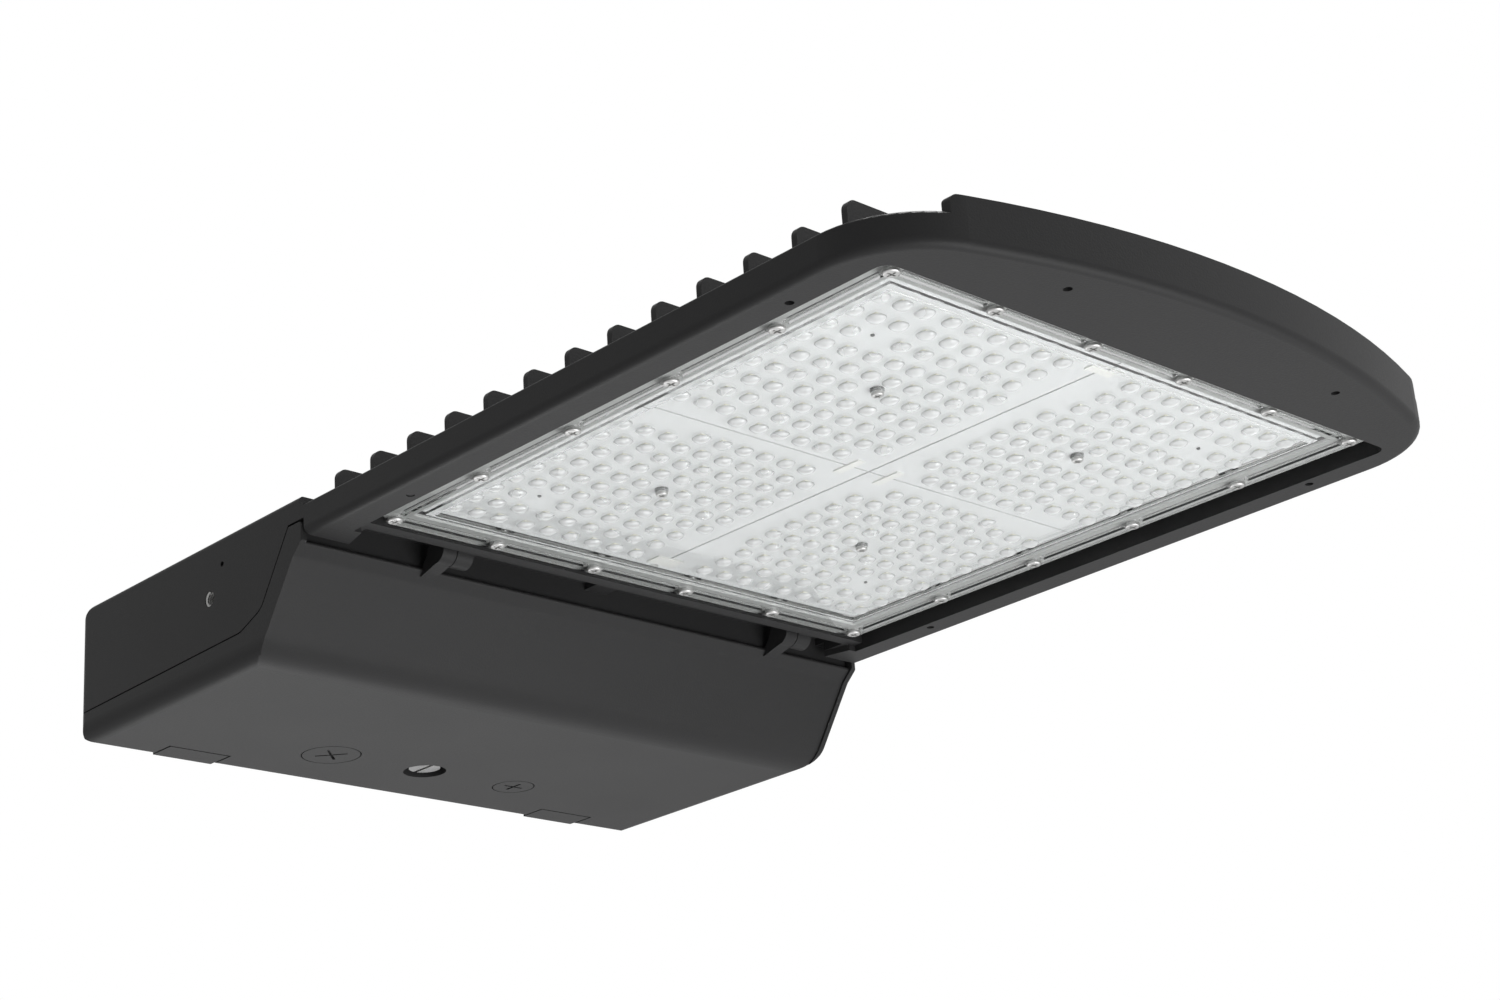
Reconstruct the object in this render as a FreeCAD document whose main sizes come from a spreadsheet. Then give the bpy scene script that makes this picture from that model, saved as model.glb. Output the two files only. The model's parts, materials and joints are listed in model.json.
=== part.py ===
import FreeCAD, Part
import math
import os
import re
import Sketcher
from FreeCAD import Placement, Rotation, Vector

# Shoebox area light. Origin: middle of the arm mount on the rear face.
# +X to the right, +Y to the rear (towards the arm), +Z up. Millimetres.

SIZES = [
    # the casting as a whole
    ("half_width", 181, "half the width of the head"),
    ("reach", 601.3, "rear face to the tip of the nose"),
    ("nose_radius", 489, "plan radius of the nose"),
    ("corner_radius", 49, "plan radius of the nose corners"),
    ("rim_z", 13.2, "underside of the rim"),
    ("skirt_z", 28, "top edge of the skirt"),
    ("plate_rise", 1, "top of the heat-sink plate above the skirt"),
    ("plate_inset", 4, "heat-sink plate's edge inside the skirt"),
    ("visor_z", 35.4, "top of the nose wall"),
    ("visor_half", 153, "half the length of the nose wall"),
    ("visor_wall", 4, "thickness of the nose wall"),
    ("box_z", 33, "top of the driver compartment"),
    ("box_front", 191.5, "rear face to the front edge of the compartment's top"),
    ("wall", 3.5, "wall of the compartment"),
    ("rear_wall", 4, "rear wall of the compartment"),
    ("rim_round", 4, "rounding of the rim's outer edge"),
    ("skirt_round", 1.2, "rounding of the skirt's top edge"),
    ("box_round", 15, "rounding of the top rear edge"),
    ("box_gusset", 9, "thickening inside the top rear edge"),
    ("rear_corner", 6, "rounding of the rear upright edges"),
    ("box_side_round", 2.5, "rounding of the compartment's top side edges"),
    # fins
    ("fin_count", 13, "number of fins"),
    ("fin_first", 209.7, "rear face to the rear side of the first fin"),
    ("fin_pitch", 27.5, "fin spacing"),
    ("fin_wall", 3, "fin thickness"),
    ("fin_half", 174, "half the length of a fin"),
    ("fin_z", 41.5, "top of the fins"),
    ("fin_round", 5, "rounding of the fin's upper corners"),
    # the parting line between housing and door, seen from the side
    ("seam_rear_z", -22, "height at the rear face"),
    ("seam_bend", 143, "rear face to the first bend"),
    ("seam_bend_z", -19.5, "height at the first bend"),
    ("seam_knee", 160, "rear face to the knee"),
    ("seam_knee_z", -13, "height at the knee"),
    ("seam_top", 182.5, "rear face to the top of the rise"),
    ("seam_top_z", 21.2, "height at the top of the rise"),
    ("seam_round", 12, "rounding of the bend and the knee"),
    ("seam_gap", 0.7, "gap along the parting line"),
    ("bend_lean", 0.19, "forward share of an offset at the bend"),
    ("knee_lean", 0.66, "forward share of an offset at the knee"),
    ("knee_drop", 0.82, "downward share of an offset at the knee"),
    ("rise_lean", 1.2, "forward share of an offset along the rise"),
    ("land", 12, "width of the sealing flange inside the side walls"),
    ("land_wall", 3, "thickness of the sealing flange"),
    ("land_front_z", 12, "underside of the sealing flange at the front"),
    ("front_wall", 188.5, "rear face to the compartment's front wall"),
    # rim and recess for the optics
    ("foot", 195, "rear face to the ends of the rim's arms"),
    ("foot_half", 155.7, "half the distance between the arm ends"),
    ("foot_step", 210, "rear face to the step where the arms widen"),
    ("foot_step_half", 159.5, "half the distance between the arms at the step"),
    ("channel", 7.5, "gap beside the optic panel"),
    ("nose_channel", 3.7, "gap ahead of the optic panel"),
    ("well_round", 6, "corner rounding of the recess"),
    ("bar_z", 16.5, "underside of the bar behind the panel"),
    ("bar_back", 208.5, "rear face to the rear side of the bar"),
    ("gap_z", 25, "roof of the air gap between head and compartment"),
    # optic panel
    ("optic_middle", 381.9, "rear face to the middle of the panel"),
    ("screw_pitch_x", 60, "spacing of the panel screws across"),
    ("screw_pitch_y", 63.56, "spacing of the panel screws along"),
    ("screws_a_side", 6, "panel screws in each row"),
    ("flange", 6.5, "panel edge beyond the screw rows"),
    ("flange_z", 18, "underside of the panel's edge"),
    ("flange_wall", 3, "thickness of the panel's edge"),
    ("seal_wall", 1.5, "thickness of the panel gasket"),
    ("seal_width", 12.4, "width of the panel gasket"),
    ("pane_rise", 2.3, "panel's middle above its edge"),
    ("pane_wall", 2, "thickness of the panel's middle"),
    ("pane_inset", 13, "middle's edge inside the screw rows"),
    ("boss_radius", 5.4, "bosses round the panel screws"),
    ("groove", 3.4, "width of the grooves between the screws"),
    ("groove_depth", 1.2, "depth of those grooves"),
    ("chamber_inset", 7, "chamber's edge inside the screw rows"),
    ("dome_radius", 4.3, "radius of a dome at the panel"),
    ("dome_height", 2.1, "height of a dome"),
    # boards and light sources
    ("board_wall", 1.6, "board thickness"),
    ("board_gap", 1, "gap between the boards"),
    ("chip_side", 3, "side of a light source"),
    ("chip_height", 0.7, "height of a light source"),
    ("chip_air", 0.3, "air between light source and panel"),
    ("board_screw_x", 65.4, "board screws from the centre line"),
    ("board_screw_y", 69.25, "board screws from the middle of the panel"),
    ("link_length", 16, "board connector, across"),
    ("link_width", 9, "board connector, along"),
    ("link_height", 0.7, "board connector, height"),
    ("link_inset", 6, "first connector from the boards' rear edge"),
    # light sources of one quarter, from the rear row of panel screws and the side row
    ("edge_rows", 3, "rows along the side"),
    ("edge_columns", 9, "light sources in each of those rows"),
    ("edge_x", 17.3, "side screws to the first row"),
    ("edge_y", 22.5, "rear screws to the first column"),
    ("edge_pitch_x", 13, "spacing of the rows"),
    ("edge_pitch_y", 14.72, "spacing in a row"),
    ("rear_rows", 3, "rows along the rear"),
    ("rear_columns", 6, "light sources in each of those rows"),
    ("rear_x", 58.9, "side screws to the first of them"),
    ("rear_pitch_x", 13.75, "spacing in a row"),
    ("rear_pitch_y", 14.3, "spacing of the rows"),
    ("field_count", 7, "rows and columns of the inner field"),
    ("field_x", 56.8, "side screws to the inner field"),
    ("field_y", 65.2, "rear screws to the inner field"),
    ("field_pitch_x", 12.85, "spacing across"),
    ("field_pitch_y", 13.7, "spacing along"),
    # hinge
    ("hinge_y", 201, "rear face to the hinge axis"),
    ("hinge_z", 17.5, "height of the hinge axis"),
    ("barrel", 6.5, "radius of the hinge barrels"),
    ("pin", 2.5, "radius of the hinge pins"),
    ("pin_play", 0.05, "running clearance round a pin"),
    ("pin_cover", 2, "closed end of a door arm's bore"),
    ("lug_width", 9.5, "width of a housing lug"),
    ("arm_width", 8, "width of a door arm"),
    ("hinge_gap", 0.5, "gap between lug and arm"),
    ("left_hinge", -101.5, "left lug's side next to its arm"),
    ("right_hinge", 124, "right lug's side next to its arm"),
    # door
    ("door_z", -36, "underside of the door"),
    ("door_wall", 3.5, "wall of the door"),
    ("cheek_wall", 2.8, "thickness of the door's side walls"),
    ("cheek_bead", 3, "width of the raised edge beside the slope"),
    ("cheek_round", 0.8, "rounding of that edge"),
    ("slope_dip", 1.2, "slope below the raised edges"),
    ("door_front", 193.2, "rear face to the front of the door"),
    ("lip_z", 11, "height where the door's front starts to lean"),
    ("flare", 186.1, "rear face to the bend between lip and slope"),
    ("flare_z", 4.6, "height of that bend"),
    ("flare_round", 8, "rounding of that bend"),
    ("slope_end", 158, "rear face to where the slope meets the bottom"),
    ("fold_round", 24, "rounding between slope and bottom"),
    ("lip_round", 1.2, "rounding of the front lip"),
    ("lip_top", 12.2, "height of the lip between the side walls"),
    ("slope_wall", 3, "wall under the slope"),
    ("lip_step", 10.8, "height of the step inside the lip"),
    ("lip_air", 0.8, "gap between the lip and the housing's front wall"),
    ("door_edge", 9, "rounding of the bottom side edges"),
    ("door_rear_round", 4, "rounding of the bottom rear edge"),
    ("rib", 4, "thickness of the rib under the gasket"),
    ("rib_side", 172, "half the width across the rib"),
    ("rib_front", 183, "rear face to the front of the rib"),
    ("rib_rear", 22, "rear face to the rear of the rib"),
    ("door_seal", 3, "thickness of the door gasket"),
    ("seal_air", 0.3, "gap between the gasket and the sealing flange"),
    # rear notches and the housing's tongues in them
    ("notch_inner", 102.5, "inner side of a notch"),
    ("notch_outer", 139, "outer side of a notch"),
    ("notch_depth", 17.5, "depth of a notch from the rear face"),
    ("notch_gap", 1.1, "gap round a tongue"),
    ("tongue_wall", 3.2, "thickness of a tongue"),
    # fittings on the door's underside
    ("port_y", 45, "rear face to the plugs and the captive screw"),
    ("plug_x", 60, "plugs from the centre line"),
    ("large_head", 15, "radius of the large plug's head"),
    ("large_neck", 12, "radius of the large plug's thread"),
    ("large_slot", 17, "length of its cross slot"),
    ("small_head", 11, "radius of the small plug's head"),
    ("small_neck", 8, "radius of the small plug's thread"),
    ("small_slot", 12, "length of its cross slot"),
    ("plug_head", 2.5, "thickness of the plug heads"),
    ("plug_length", 12, "length of the plugs under the head"),
    ("plug_play", 0.6, "gap round a plug's head"),
    ("plug_seal", 1, "thickness of the plug seals"),
    ("slot", 1.5, "width of the cross slots"),
    ("slot_depth", 1.4, "depth of the cross slots"),
    ("port_boss", 3.5, "wall of the bosses round plugs and screw"),
    ("door_boss_z", -23, "top of the bosses inside the door"),
    # captive screw
    ("catch_head", 8.3, "radius of its head"),
    ("catch_well", 11.4, "radius of the well round its head"),
    ("catch_head_height", 3.5, "height of its head"),
    ("catch_sink", 1.7, "head below the door's surface"),
    ("catch_shank", 3, "radius of its shank"),
    ("catch_play", 0.08, "running clearance round the shank"),
    ("catch_tip_z", -17, "height of its tip"),
    ("catch_ring", 5, "radius of its retaining ring"),
    ("catch_ring_wall", 0.8, "thickness of the ring"),
    ("catch_slot", 2, "width of its slot"),
    ("catch_slot_depth", 1.6, "depth of its slot"),
    ("catch_boss", 9.5, "radius of the housing boss above it"),
    ("catch_boss_z", -20.5, "lower end of that boss"),
    ("catch_mouth", 7.2, "radius of that boss's mouth"),
    ("catch_mouth_depth", 4, "depth of that mouth"),
    ("catch_thread", 2.6, "radius of the tapped hole"),
    ("catch_thread_depth", 14, "depth of the tapped hole"),
    # fasteners
    ("lens_head", 3.7, "panel screw head radius"),
    ("lens_head_height", 1.8, "panel screw head height"),
    ("lens_shank", 1.9, "panel screw shank radius"),
    ("lens_shank_length", 9, "panel screw shank length"),
    ("board_head", 2.8, "board screw head radius"),
    ("board_head_height", 1.9, "board screw head height"),
    ("board_shank", 1.4, "board screw shank radius"),
    ("board_shank_length", 7, "board screw shank length"),
    ("screw_play", 0.3, "clearance round a shank"),
    ("recess", 1.1, "depth of a screw's cross recess"),
    ("small_screw_head", 3.5, "radius of the inner screws' heads"),
    ("small_screw_height", 2.4, "height of the inner screws' heads"),
    ("small_screw_shank", 1.75, "radius of the inner screws' shanks"),
    ("ceiling_thread", 2.6, "depth of the inner screws in the ceiling"),
    # outside fixings
    ("arm_pitch", 88.9, "spacing of the arm bolts"),
    ("arm_hole", 5.5, "radius of the arm bolt holes"),
    ("entry", 11, "radius of the wire entry"),
    ("arm_pad_half", 58, "half the width of the thickened rear wall"),
    ("arm_pad_z", 18, "half the height of the thickened rear wall"),
    ("arm_pad", 8, "thickness of the rear wall there"),
    ("arm_seal_outer", 17, "outer radius of the arm gasket"),
    ("arm_seal_inner", 12.5, "inner radius of the arm gasket"),
    ("arm_seal_wall", 2, "thickness of the arm gasket"),
    ("side_thread", 3.8, "radius of the threaded side holes"),
    ("side_thread_y", 117.4, "rear face to the side holes"),
    ("side_thread_z", 4.5, "height of the side holes"),
    ("side_boss", 8, "radius of the bosses behind the side holes"),
    ("side_boss_depth", 13, "side face to the inner end of those bosses"),
    ("side_thread_depth", 11, "depth of the side holes"),
    ("dimple", 1.3, "radius of the small blind side holes"),
    ("dimple_y", 128, "rear face to the small side holes"),
    ("dimple_z", 19, "height of the small side holes"),
    ("dimple_depth", 2, "depth of the small side holes"),
    ("shield_hole", 2, "radius of the holes in the rim"),
    ("shield_depth", 7, "depth of the holes in the rim"),
    ("shield_side", 169.2, "side holes from the centre line"),
    ("shield_front", 503.9, "rear face to the front side holes"),
    ("shield_rear", 260.3, "rear face to the rear side holes"),
    ("shield_nose", 88.4, "nose holes from the centre line"),
    ("shield_nose_y", 576.7, "rear face to the nose holes"),
    # wire duct between compartment and head
    ("duct_z", 25.8, "height of the duct's axis"),
    ("duct", 3, "radius of the duct"),
    ("duct_end", 236.5, "rear face to the duct's front end"),
    ("duct_drop", 233, "rear face to the duct's way down"),
    ("duct_half", 7, "half the width of the duct's cover"),
    ("duct_cover", 33, "top of the duct's cover"),
    ("grommet_wall", 1, "wall of the grommet"),
    ("grommet_flange", 0.6, "grommet's flange beyond the duct"),
    ("grommet_flange_wall", 1.5, "thickness of the grommet's flange"),
    ("grommet_length", 6, "length of the grommet in the duct"),
    # inside the compartment
    ("tray_wall", 2, "thickness of the driver tray"),
    ("tray_left", -160, "left end of the tray"),
    ("tray_right", 165, "right end of the tray"),
    ("tray_front", 176, "rear face to the tray's front edge"),
    ("tray_rear", 60, "rear face to the tray's rear edge"),
    ("driver_left", -150, "left end of the drivers"),
    ("driver_length", 240, "length of a driver"),
    ("driver_width", 53, "width of a driver"),
    ("driver_height", 36.5, "height of a driver"),
    ("driver_front", 172, "rear face to the front driver's front side"),
    ("driver_gap", 4, "gap between the drivers"),
    ("driver_ear", 9, "length of a driver's mounting ears"),
    ("driver_ear_half", 10, "half the width of a driver's mounting ears"),
    ("driver_ear_wall", 3, "thickness of a driver's mounting ears"),
    ("surge_left", 110, "left side of the surge protector"),
    ("surge_length", 42, "length of the surge protector, across"),
    ("surge_width", 50, "width of the surge protector, along"),
    ("surge_height", 28, "height of the surge protector"),
    ("surge_rear", 105, "rear face to the surge protector's rear side"),
    ("surge_ear", 7, "length of its mounting ears"),
    ("surge_ear_half", 8, "half the width of its mounting ears"),
    ("surge_ear_wall", 3, "thickness of its mounting ears"),
    ("block_left", -120, "left end of the terminal block"),
    ("block_length", 46, "length of the terminal block"),
    ("block_width", 20, "width of the terminal block"),
    ("block_height", 18, "height of the terminal block"),
    ("block_front", 42, "rear face to the terminal block's front side"),
    ("block_poles", 3, "terminals in the block"),
    ("pole_pitch", 11, "spacing of the terminals"),
    ("pole_screw", 2.2, "radius of a terminal screw"),
    ("pole_depth", 4, "depth of a terminal screw"),
    ("earth_x", 62, "ground screw from the centre line"),
    ("earth_y", 24, "rear face to the ground screw"),
    ("lead", 0.9, "radius of a lead"),
    ("lead_pitch", 2, "spacing of a pair of leads"),
]

FUNCTIONS = ("sqrt", "min", "max")
UP = Vector(0, 0, 1)

doc = FreeCAD.newDocument("AreaLight")
sheet = doc.addObject("Spreadsheet::Sheet", "Sizes")
for row, (alias, size, note) in enumerate(SIZES, 1):
    sheet.set("A%d" % row, note)
    sheet.set("B%d" % row, str(size))
    sheet.setAlias("B%d" % row, alias)
doc.recompute()

nodes = []


def bound(formula):
    """A formula whose names are those of the sheet's cells."""
    def cell(word):
        name = word.group()
        return name if name in FUNCTIONS else "Sizes." + name
    return re.sub(r"[a-z]\w*", cell, str(formula))


def number(formula):
    """What a formula comes to."""
    return float(sheet.evalExpression(bound(formula)))


def point(x, y, z):
    return Vector(number(x), number(y), number(z))


def node(thing, label):
    """Keeps a finished sub-part under its name."""
    thing.Label = label
    nodes.append(thing)
    return thing


# ---------------------------------------------------------------- sketches

def new_body(name):
    return doc.addObject("PartDesign::Body", name)


def sketch_on(body, name, plane, offset="0"):
    """A sketch parallel to one of the body's origin planes."""
    planes = [f for f in body.Origin.OriginFeatures if f.Role == plane]
    sketch = body.newObject("Sketcher::SketchObject", name)
    sketch.AttachmentSupport = (planes[0], [""])
    sketch.MapMode = "FlatFace"
    sketch.setExpression("AttachmentOffset.Base.z", bound(offset))
    return sketch


def held(geometry, end, u, v):
    """Rules that hold a point at its place from the origin."""
    rules = []
    for kind, place, axis in (("DistanceX", u, -2), ("DistanceY", v, -1)):
        if str(place) == "0":
            rules.append((Sketcher.Constraint("PointOnObject", geometry, end, axis), None))
        else:
            rule = Sketcher.Constraint(kind, -1, 1, geometry, end, number(place))
            rules.append((rule, bound(place)))
    return rules


def held_radius(geometry, radius):
    return [(Sketcher.Constraint("Radius", geometry, number(radius)), bound(radius))]


def apply_rules(sketch, rules):
    """Adds rules to a sketch and binds those that carry a formula."""
    first = sketch.ConstraintCount
    sketch.addConstraint([rule for rule, _ in rules])
    for index, (_, formula) in enumerate(rules, first):
        if formula:
            sketch.setExpression("Constraints[%d]" % index, formula)


def outline(sketch, points):
    """A closed outline. A point (u, v) starts a line; (u, v, radius) an arc that turns
    left, and (u, v, radius, "right") one that turns right."""
    spots = [Vector(number(p[0]), number(p[1]), 0) for p in points]
    spans = []
    rules = []
    for index, corner in enumerate(points):
        start = spots[index]
        end = spots[(index + 1) % len(spots)]
        if len(corner) == 2:
            spans.append((sketch.addGeometry(Part.LineSegment(start, end)), 1, 2))
            continue
        radius = number(corner[2])
        first, last = (start, end) if len(corner) == 3 else (end, start)
        half = (last - first) * 0.5
        rise = math.sqrt(max(radius ** 2 - half.Length ** 2, 0))
        middle = first + half + Vector(-half.y, half.x, 0).normalize() * rise
        angles = [math.atan2(end_.y - middle.y, end_.x - middle.x) for end_ in (first, last)]
        arc = Part.ArcOfCircle(Part.Circle(middle, UP, radius), angles[0], angles[1])
        geometry = sketch.addGeometry(arc)
        spans.append((geometry, 1, 2) if len(corner) == 3 else (geometry, 2, 1))
        rules += held_radius(geometry, corner[2])
    for index, corner in enumerate(points):
        geometry, begin, finish = spans[index]
        before = spans[index - 1]
        join = Sketcher.Constraint("Coincident", before[0], before[2], geometry, begin)
        rules.append((join, None))
        rules += held(geometry, begin, corner[0], corner[1])
    apply_rules(sketch, rules)


def rectangle(sketch, u_low, u_high, v_low, v_high):
    outline(sketch, [(u_low, v_low), (u_high, v_low), (u_high, v_high), (u_low, v_high)])


def circle(sketch, u, v, radius):
    spot = Vector(number(u), number(v), 0)
    geometry = sketch.addGeometry(Part.Circle(spot, UP, number(radius)))
    apply_rules(sketch, held_radius(geometry, radius) + held(geometry, 3, u, v))


# ---------------------------------------------------------------- features

def extrude(body, kind, sketch, length, side, reverse):
    before = body.Shape.Volume if body.Tip else 0
    feature = body.newObject("PartDesign::" + kind, sketch.Name + kind)
    feature.Profile = sketch
    feature.SideType = side
    feature.Reversed = reverse
    feature.setExpression("Length", bound(length))
    doc.recompute()
    change = body.Shape.Volume - before
    if (change <= 0) == (kind == "Pad"):
        raise RuntimeError("%s changes nothing" % feature.Name)
    return feature


def pad(body, sketch, length, side="One side", reverse=False):
    return extrude(body, "Pad", sketch, length, side, reverse)


def pocket(body, sketch, length, side="One side", reverse=False):
    """Cuts against the sketch's normal, or along it where reversed."""
    return extrude(body, "Pocket", sketch, length, side, reverse)


def lies(edge, x=None, y=None, z=None):
    """Whether an edge lies wholly at the given places."""
    box = edge.BoundBox
    spans = ((x, box.XMin, box.XMax), (y, box.YMin, box.YMax), (z, box.ZMin, box.ZMax))
    for place, low, high in spans:
        if place is None:
            continue
        at = number(place)
        if abs(low - at) > 0.02 or abs(high - at) > 0.02:
            return False
    return True


def dress(body, kind, size, chosen):
    """Rounds or bevels the chosen edges of a body."""
    base = body.Tip
    names = ["Edge%d" % (i + 1) for i, edge in enumerate(base.Shape.Edges) if chosen(edge)]
    if not names:
        raise RuntimeError("no edge to dress on " + body.Name)
    feature = body.newObject("PartDesign::" + kind, base.Name + kind)
    feature.Base = (base, names)
    feature.setExpression("Radius" if kind == "Fillet" else "Size", bound(size))
    doc.recompute()
    return feature


def fillet(body, radius, chosen):
    return dress(body, "Fillet", radius, chosen)


def mirrored(body, features):
    """Repeats features on the other side of the middle plane."""
    planes = [f for f in body.Origin.OriginFeatures if f.Role == "YZ_Plane"]
    feature = body.newObject("PartDesign::Mirrored", features[0].Name + "Mirrored")
    feature.Originals = features
    feature.MirrorPlane = (planes[0], [""])
    body.Tip = feature
    doc.recompute()
    return feature


def round_off(body, name, plane, offset, u, v, radius, length, reverse=False):
    """Rounds a long outer corner on both sides of the middle plane. Places u and v come
    with the way out of the material, 1 or -1."""
    sketch = sketch_on(body, name, plane, offset)
    (u_at, u_out), (v_at, v_out) = u, v
    near_u = "%s - %d * (%s)" % (u_at, u_out, radius)
    near_v = "%s - %d * (%s)" % (v_at, v_out, radius)
    far_u = "%s + %d" % (u_at, u_out)
    far_v = "%s + %d" % (v_at, v_out)
    turn = (radius,) if u_out == v_out else (radius, "right")
    outline(sketch, [
        (u_at, near_v) + turn, (near_u, v_at), (near_u, far_v), (far_u, far_v), (far_u, near_v),
    ])
    mirrored(body, [pocket(body, sketch, length, reverse=reverse)])


# ---------------------------------------------------------------- primitives

def block(name, x, y, z):
    """A box; each axis has its low and its high place."""
    box = doc.addObject("Part::Box", name)
    for side, axis, (low, high) in (("Length", "x", x), ("Width", "y", y), ("Height", "z", z)):
        box.setExpression(side, bound("(%s) - (%s)" % (high, low)))
        box.setExpression("Placement.Base." + axis, bound(low))
    return box


TURNS = {
    "x": Rotation(Vector(0, 1, 0), 90),
    "y": Rotation(Vector(1, 0, 0), -90),
    "z": Rotation(),
}


def rod(name, radius, axis, low, high, **centre):
    """A cylinder along an axis, from its low to its high place."""
    thing = doc.addObject("Part::Cylinder", name)
    thing.setExpression("Radius", bound(radius))
    thing.setExpression("Height", bound("(%s) - (%s)" % (high, low)))
    thing.Placement = Placement(Vector(), TURNS[axis])
    places = dict(centre)
    places[axis] = low
    for letter, place in places.items():
        thing.setExpression("Placement.Base." + letter, bound(place))
    return thing


def fuse(name, things):
    joined = doc.addObject("Part::MultiFuse", name)
    joined.Shapes = things
    joined.Refine = True
    return joined


def cut(name, base, tools):
    """The base without its tools."""
    thing = doc.addObject("Part::Cut", name)
    thing.Base = base
    thing.Tool = tools[0] if len(tools) == 1 else fuse(name + "_tools", tools)
    return thing


def group(label, shapes):
    """Identical pieces, each its own solid, under one name."""
    thing = doc.addObject("Part::Feature", label)
    thing.Shape = Part.makeCompound(shapes)
    return node(thing, label)


# ---------------------------------------------------------------- shared places

CORNER_X = "(half_width - corner_radius)"
NOSE_Y = "(nose_radius - reach)"
CORNER_Y = "(%s - sqrt((nose_radius - corner_radius)^2 - %s^2))" % (NOSE_Y, CORNER_X)
HALF_X = "(screw_pitch_x * (screws_a_side - 1) / 2)"
HALF_Y = "(screw_pitch_y * (screws_a_side - 1) / 2)"
LAND_Z = "(flange_z + flange_wall + seal_wall)"
PANE_Z = "(flange_z + pane_rise)"
PANE_TOP = "(%s + pane_wall)" % PANE_Z
CHIP_Z = "(%s + chip_air)" % PANE_TOP
BOARD_Z = "(%s + chip_height)" % CHIP_Z
SEAT_Z = "(%s + board_wall)" % BOARD_Z
PLATE_Z = "(skirt_z + plate_rise)"
CEILING = "(box_z - wall)"
INNER_X = "(half_width - wall + 0.1)"


def places_across():
    """The panel screws' places across the panel."""
    count = round(number("screws_a_side"))
    return ["(%d - (screws_a_side - 1) / 2) * screw_pitch_x" % i for i in range(count)]


def places_along():
    """The panel screws' places along the panel."""
    count = round(number("screws_a_side"))
    return ["(%d - (screws_a_side - 1) / 2) * screw_pitch_y - optic_middle" % i for i in range(count)]


def lens_screw_places():
    across = places_across()
    along = places_along()
    ends = [(x, y) for x in across for y in (along[0], along[-1])]
    sides = [(x, y) for x in (across[0], across[-1]) for y in along[1:-1]]
    return ends + sides


def board_screw_places():
    return [("%s * board_screw_x" % i, "%s * board_screw_y - optic_middle" % j)
            for i in (-1, 1) for j in (-1, 1)]


def light_places():
    """Where the light sources sit: one quarter's rows, repeated in all four."""
    screw = (number(HALF_X) - number("board_screw_x"), number(HALF_Y) - number("board_screw_y"))
    spots = []
    index_mark = (2, 2)
    for i in range(round(number("edge_rows"))):
        for j in range(round(number("edge_columns"))):
            if (i, j) != index_mark:
                spots.append((number("edge_x + %d * edge_pitch_x" % i),
                              number("edge_y + %d * edge_pitch_y" % j)))
    for i in range(round(number("rear_rows"))):
        for j in range(round(number("rear_columns"))):
            spots.append((number("rear_x + %d * rear_pitch_x" % j),
                          number("edge_y + %d * rear_pitch_y" % i)))
    count = round(number("field_count"))
    for i in range(count):
        for j in range(count):
            if (i, j) != (count - 1, count - 1):
                spots.append((number("field_x + %d * field_pitch_x" % i),
                              number("field_y + %d * field_pitch_y" % j)))
    clear = number("dome_radius + board_head")
    spots = [s for s in spots if math.hypot(s[0] - screw[0], s[1] - screw[1]) > clear]
    half_x = number(HALF_X)
    half_y = number(HALF_Y)
    middle = number("optic_middle")
    return [(i * (half_x - across), j * (half_y - along) - middle)
            for across, along in spots for i in (-1, 1) for j in (-1, 1)]


def plan(inset, rear):
    """The head's plan outline, moved inwards, from its straight rear edge."""
    shrink = "(nose_radius - %s) / (nose_radius - corner_radius)" % inset
    side = "(half_width - %s)" % inset
    join_x = "%s * %s" % (CORNER_X, shrink)
    join_y = "%s + (%s - %s) * %s" % (NOSE_Y, CORNER_Y, NOSE_Y, shrink)
    corner = "corner_radius - %s" % inset
    return [
        ("-" + side, rear),
        ("-" + side, CORNER_Y, corner),
        ("-(%s)" % join_x, join_y, "nose_radius - %s" % inset),
        (join_x, join_y, corner),
        (side, CORNER_Y),
        (side, rear),
    ]


def seam_height(back):
    """Height of the parting line's rear stretch, at a distance from the rear face."""
    return "(seam_rear_z + (seam_bend_z - seam_rear_z) * (%s) / seam_bend)" % back


def rise_place(height):
    """How far from the rear face the parting line's rise reaches a height."""
    share = "(%s - seam_knee_z) / (seam_top_z - seam_knee_z)" % height
    return "(seam_knee + (seam_top - seam_knee) * %s)" % share


def parting(rear, top, drop="0"):
    """The parting line, moved down square to itself, from the rear up to a height."""
    return [
        ("-(%s)" % rear, "%s - (%s)" % (seam_height(rear), drop)),
        ("-seam_bend - bend_lean * (%s)" % drop, "seam_bend_z - (%s)" % drop),
        ("-seam_knee - knee_lean * (%s)" % drop, "seam_knee_z - knee_drop * (%s)" % drop),
        ("-%s - rise_lean * (%s)" % (rise_place("(%s)" % top), drop), top),
    ]


# ---------------------------------------------------------------- housing

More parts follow.
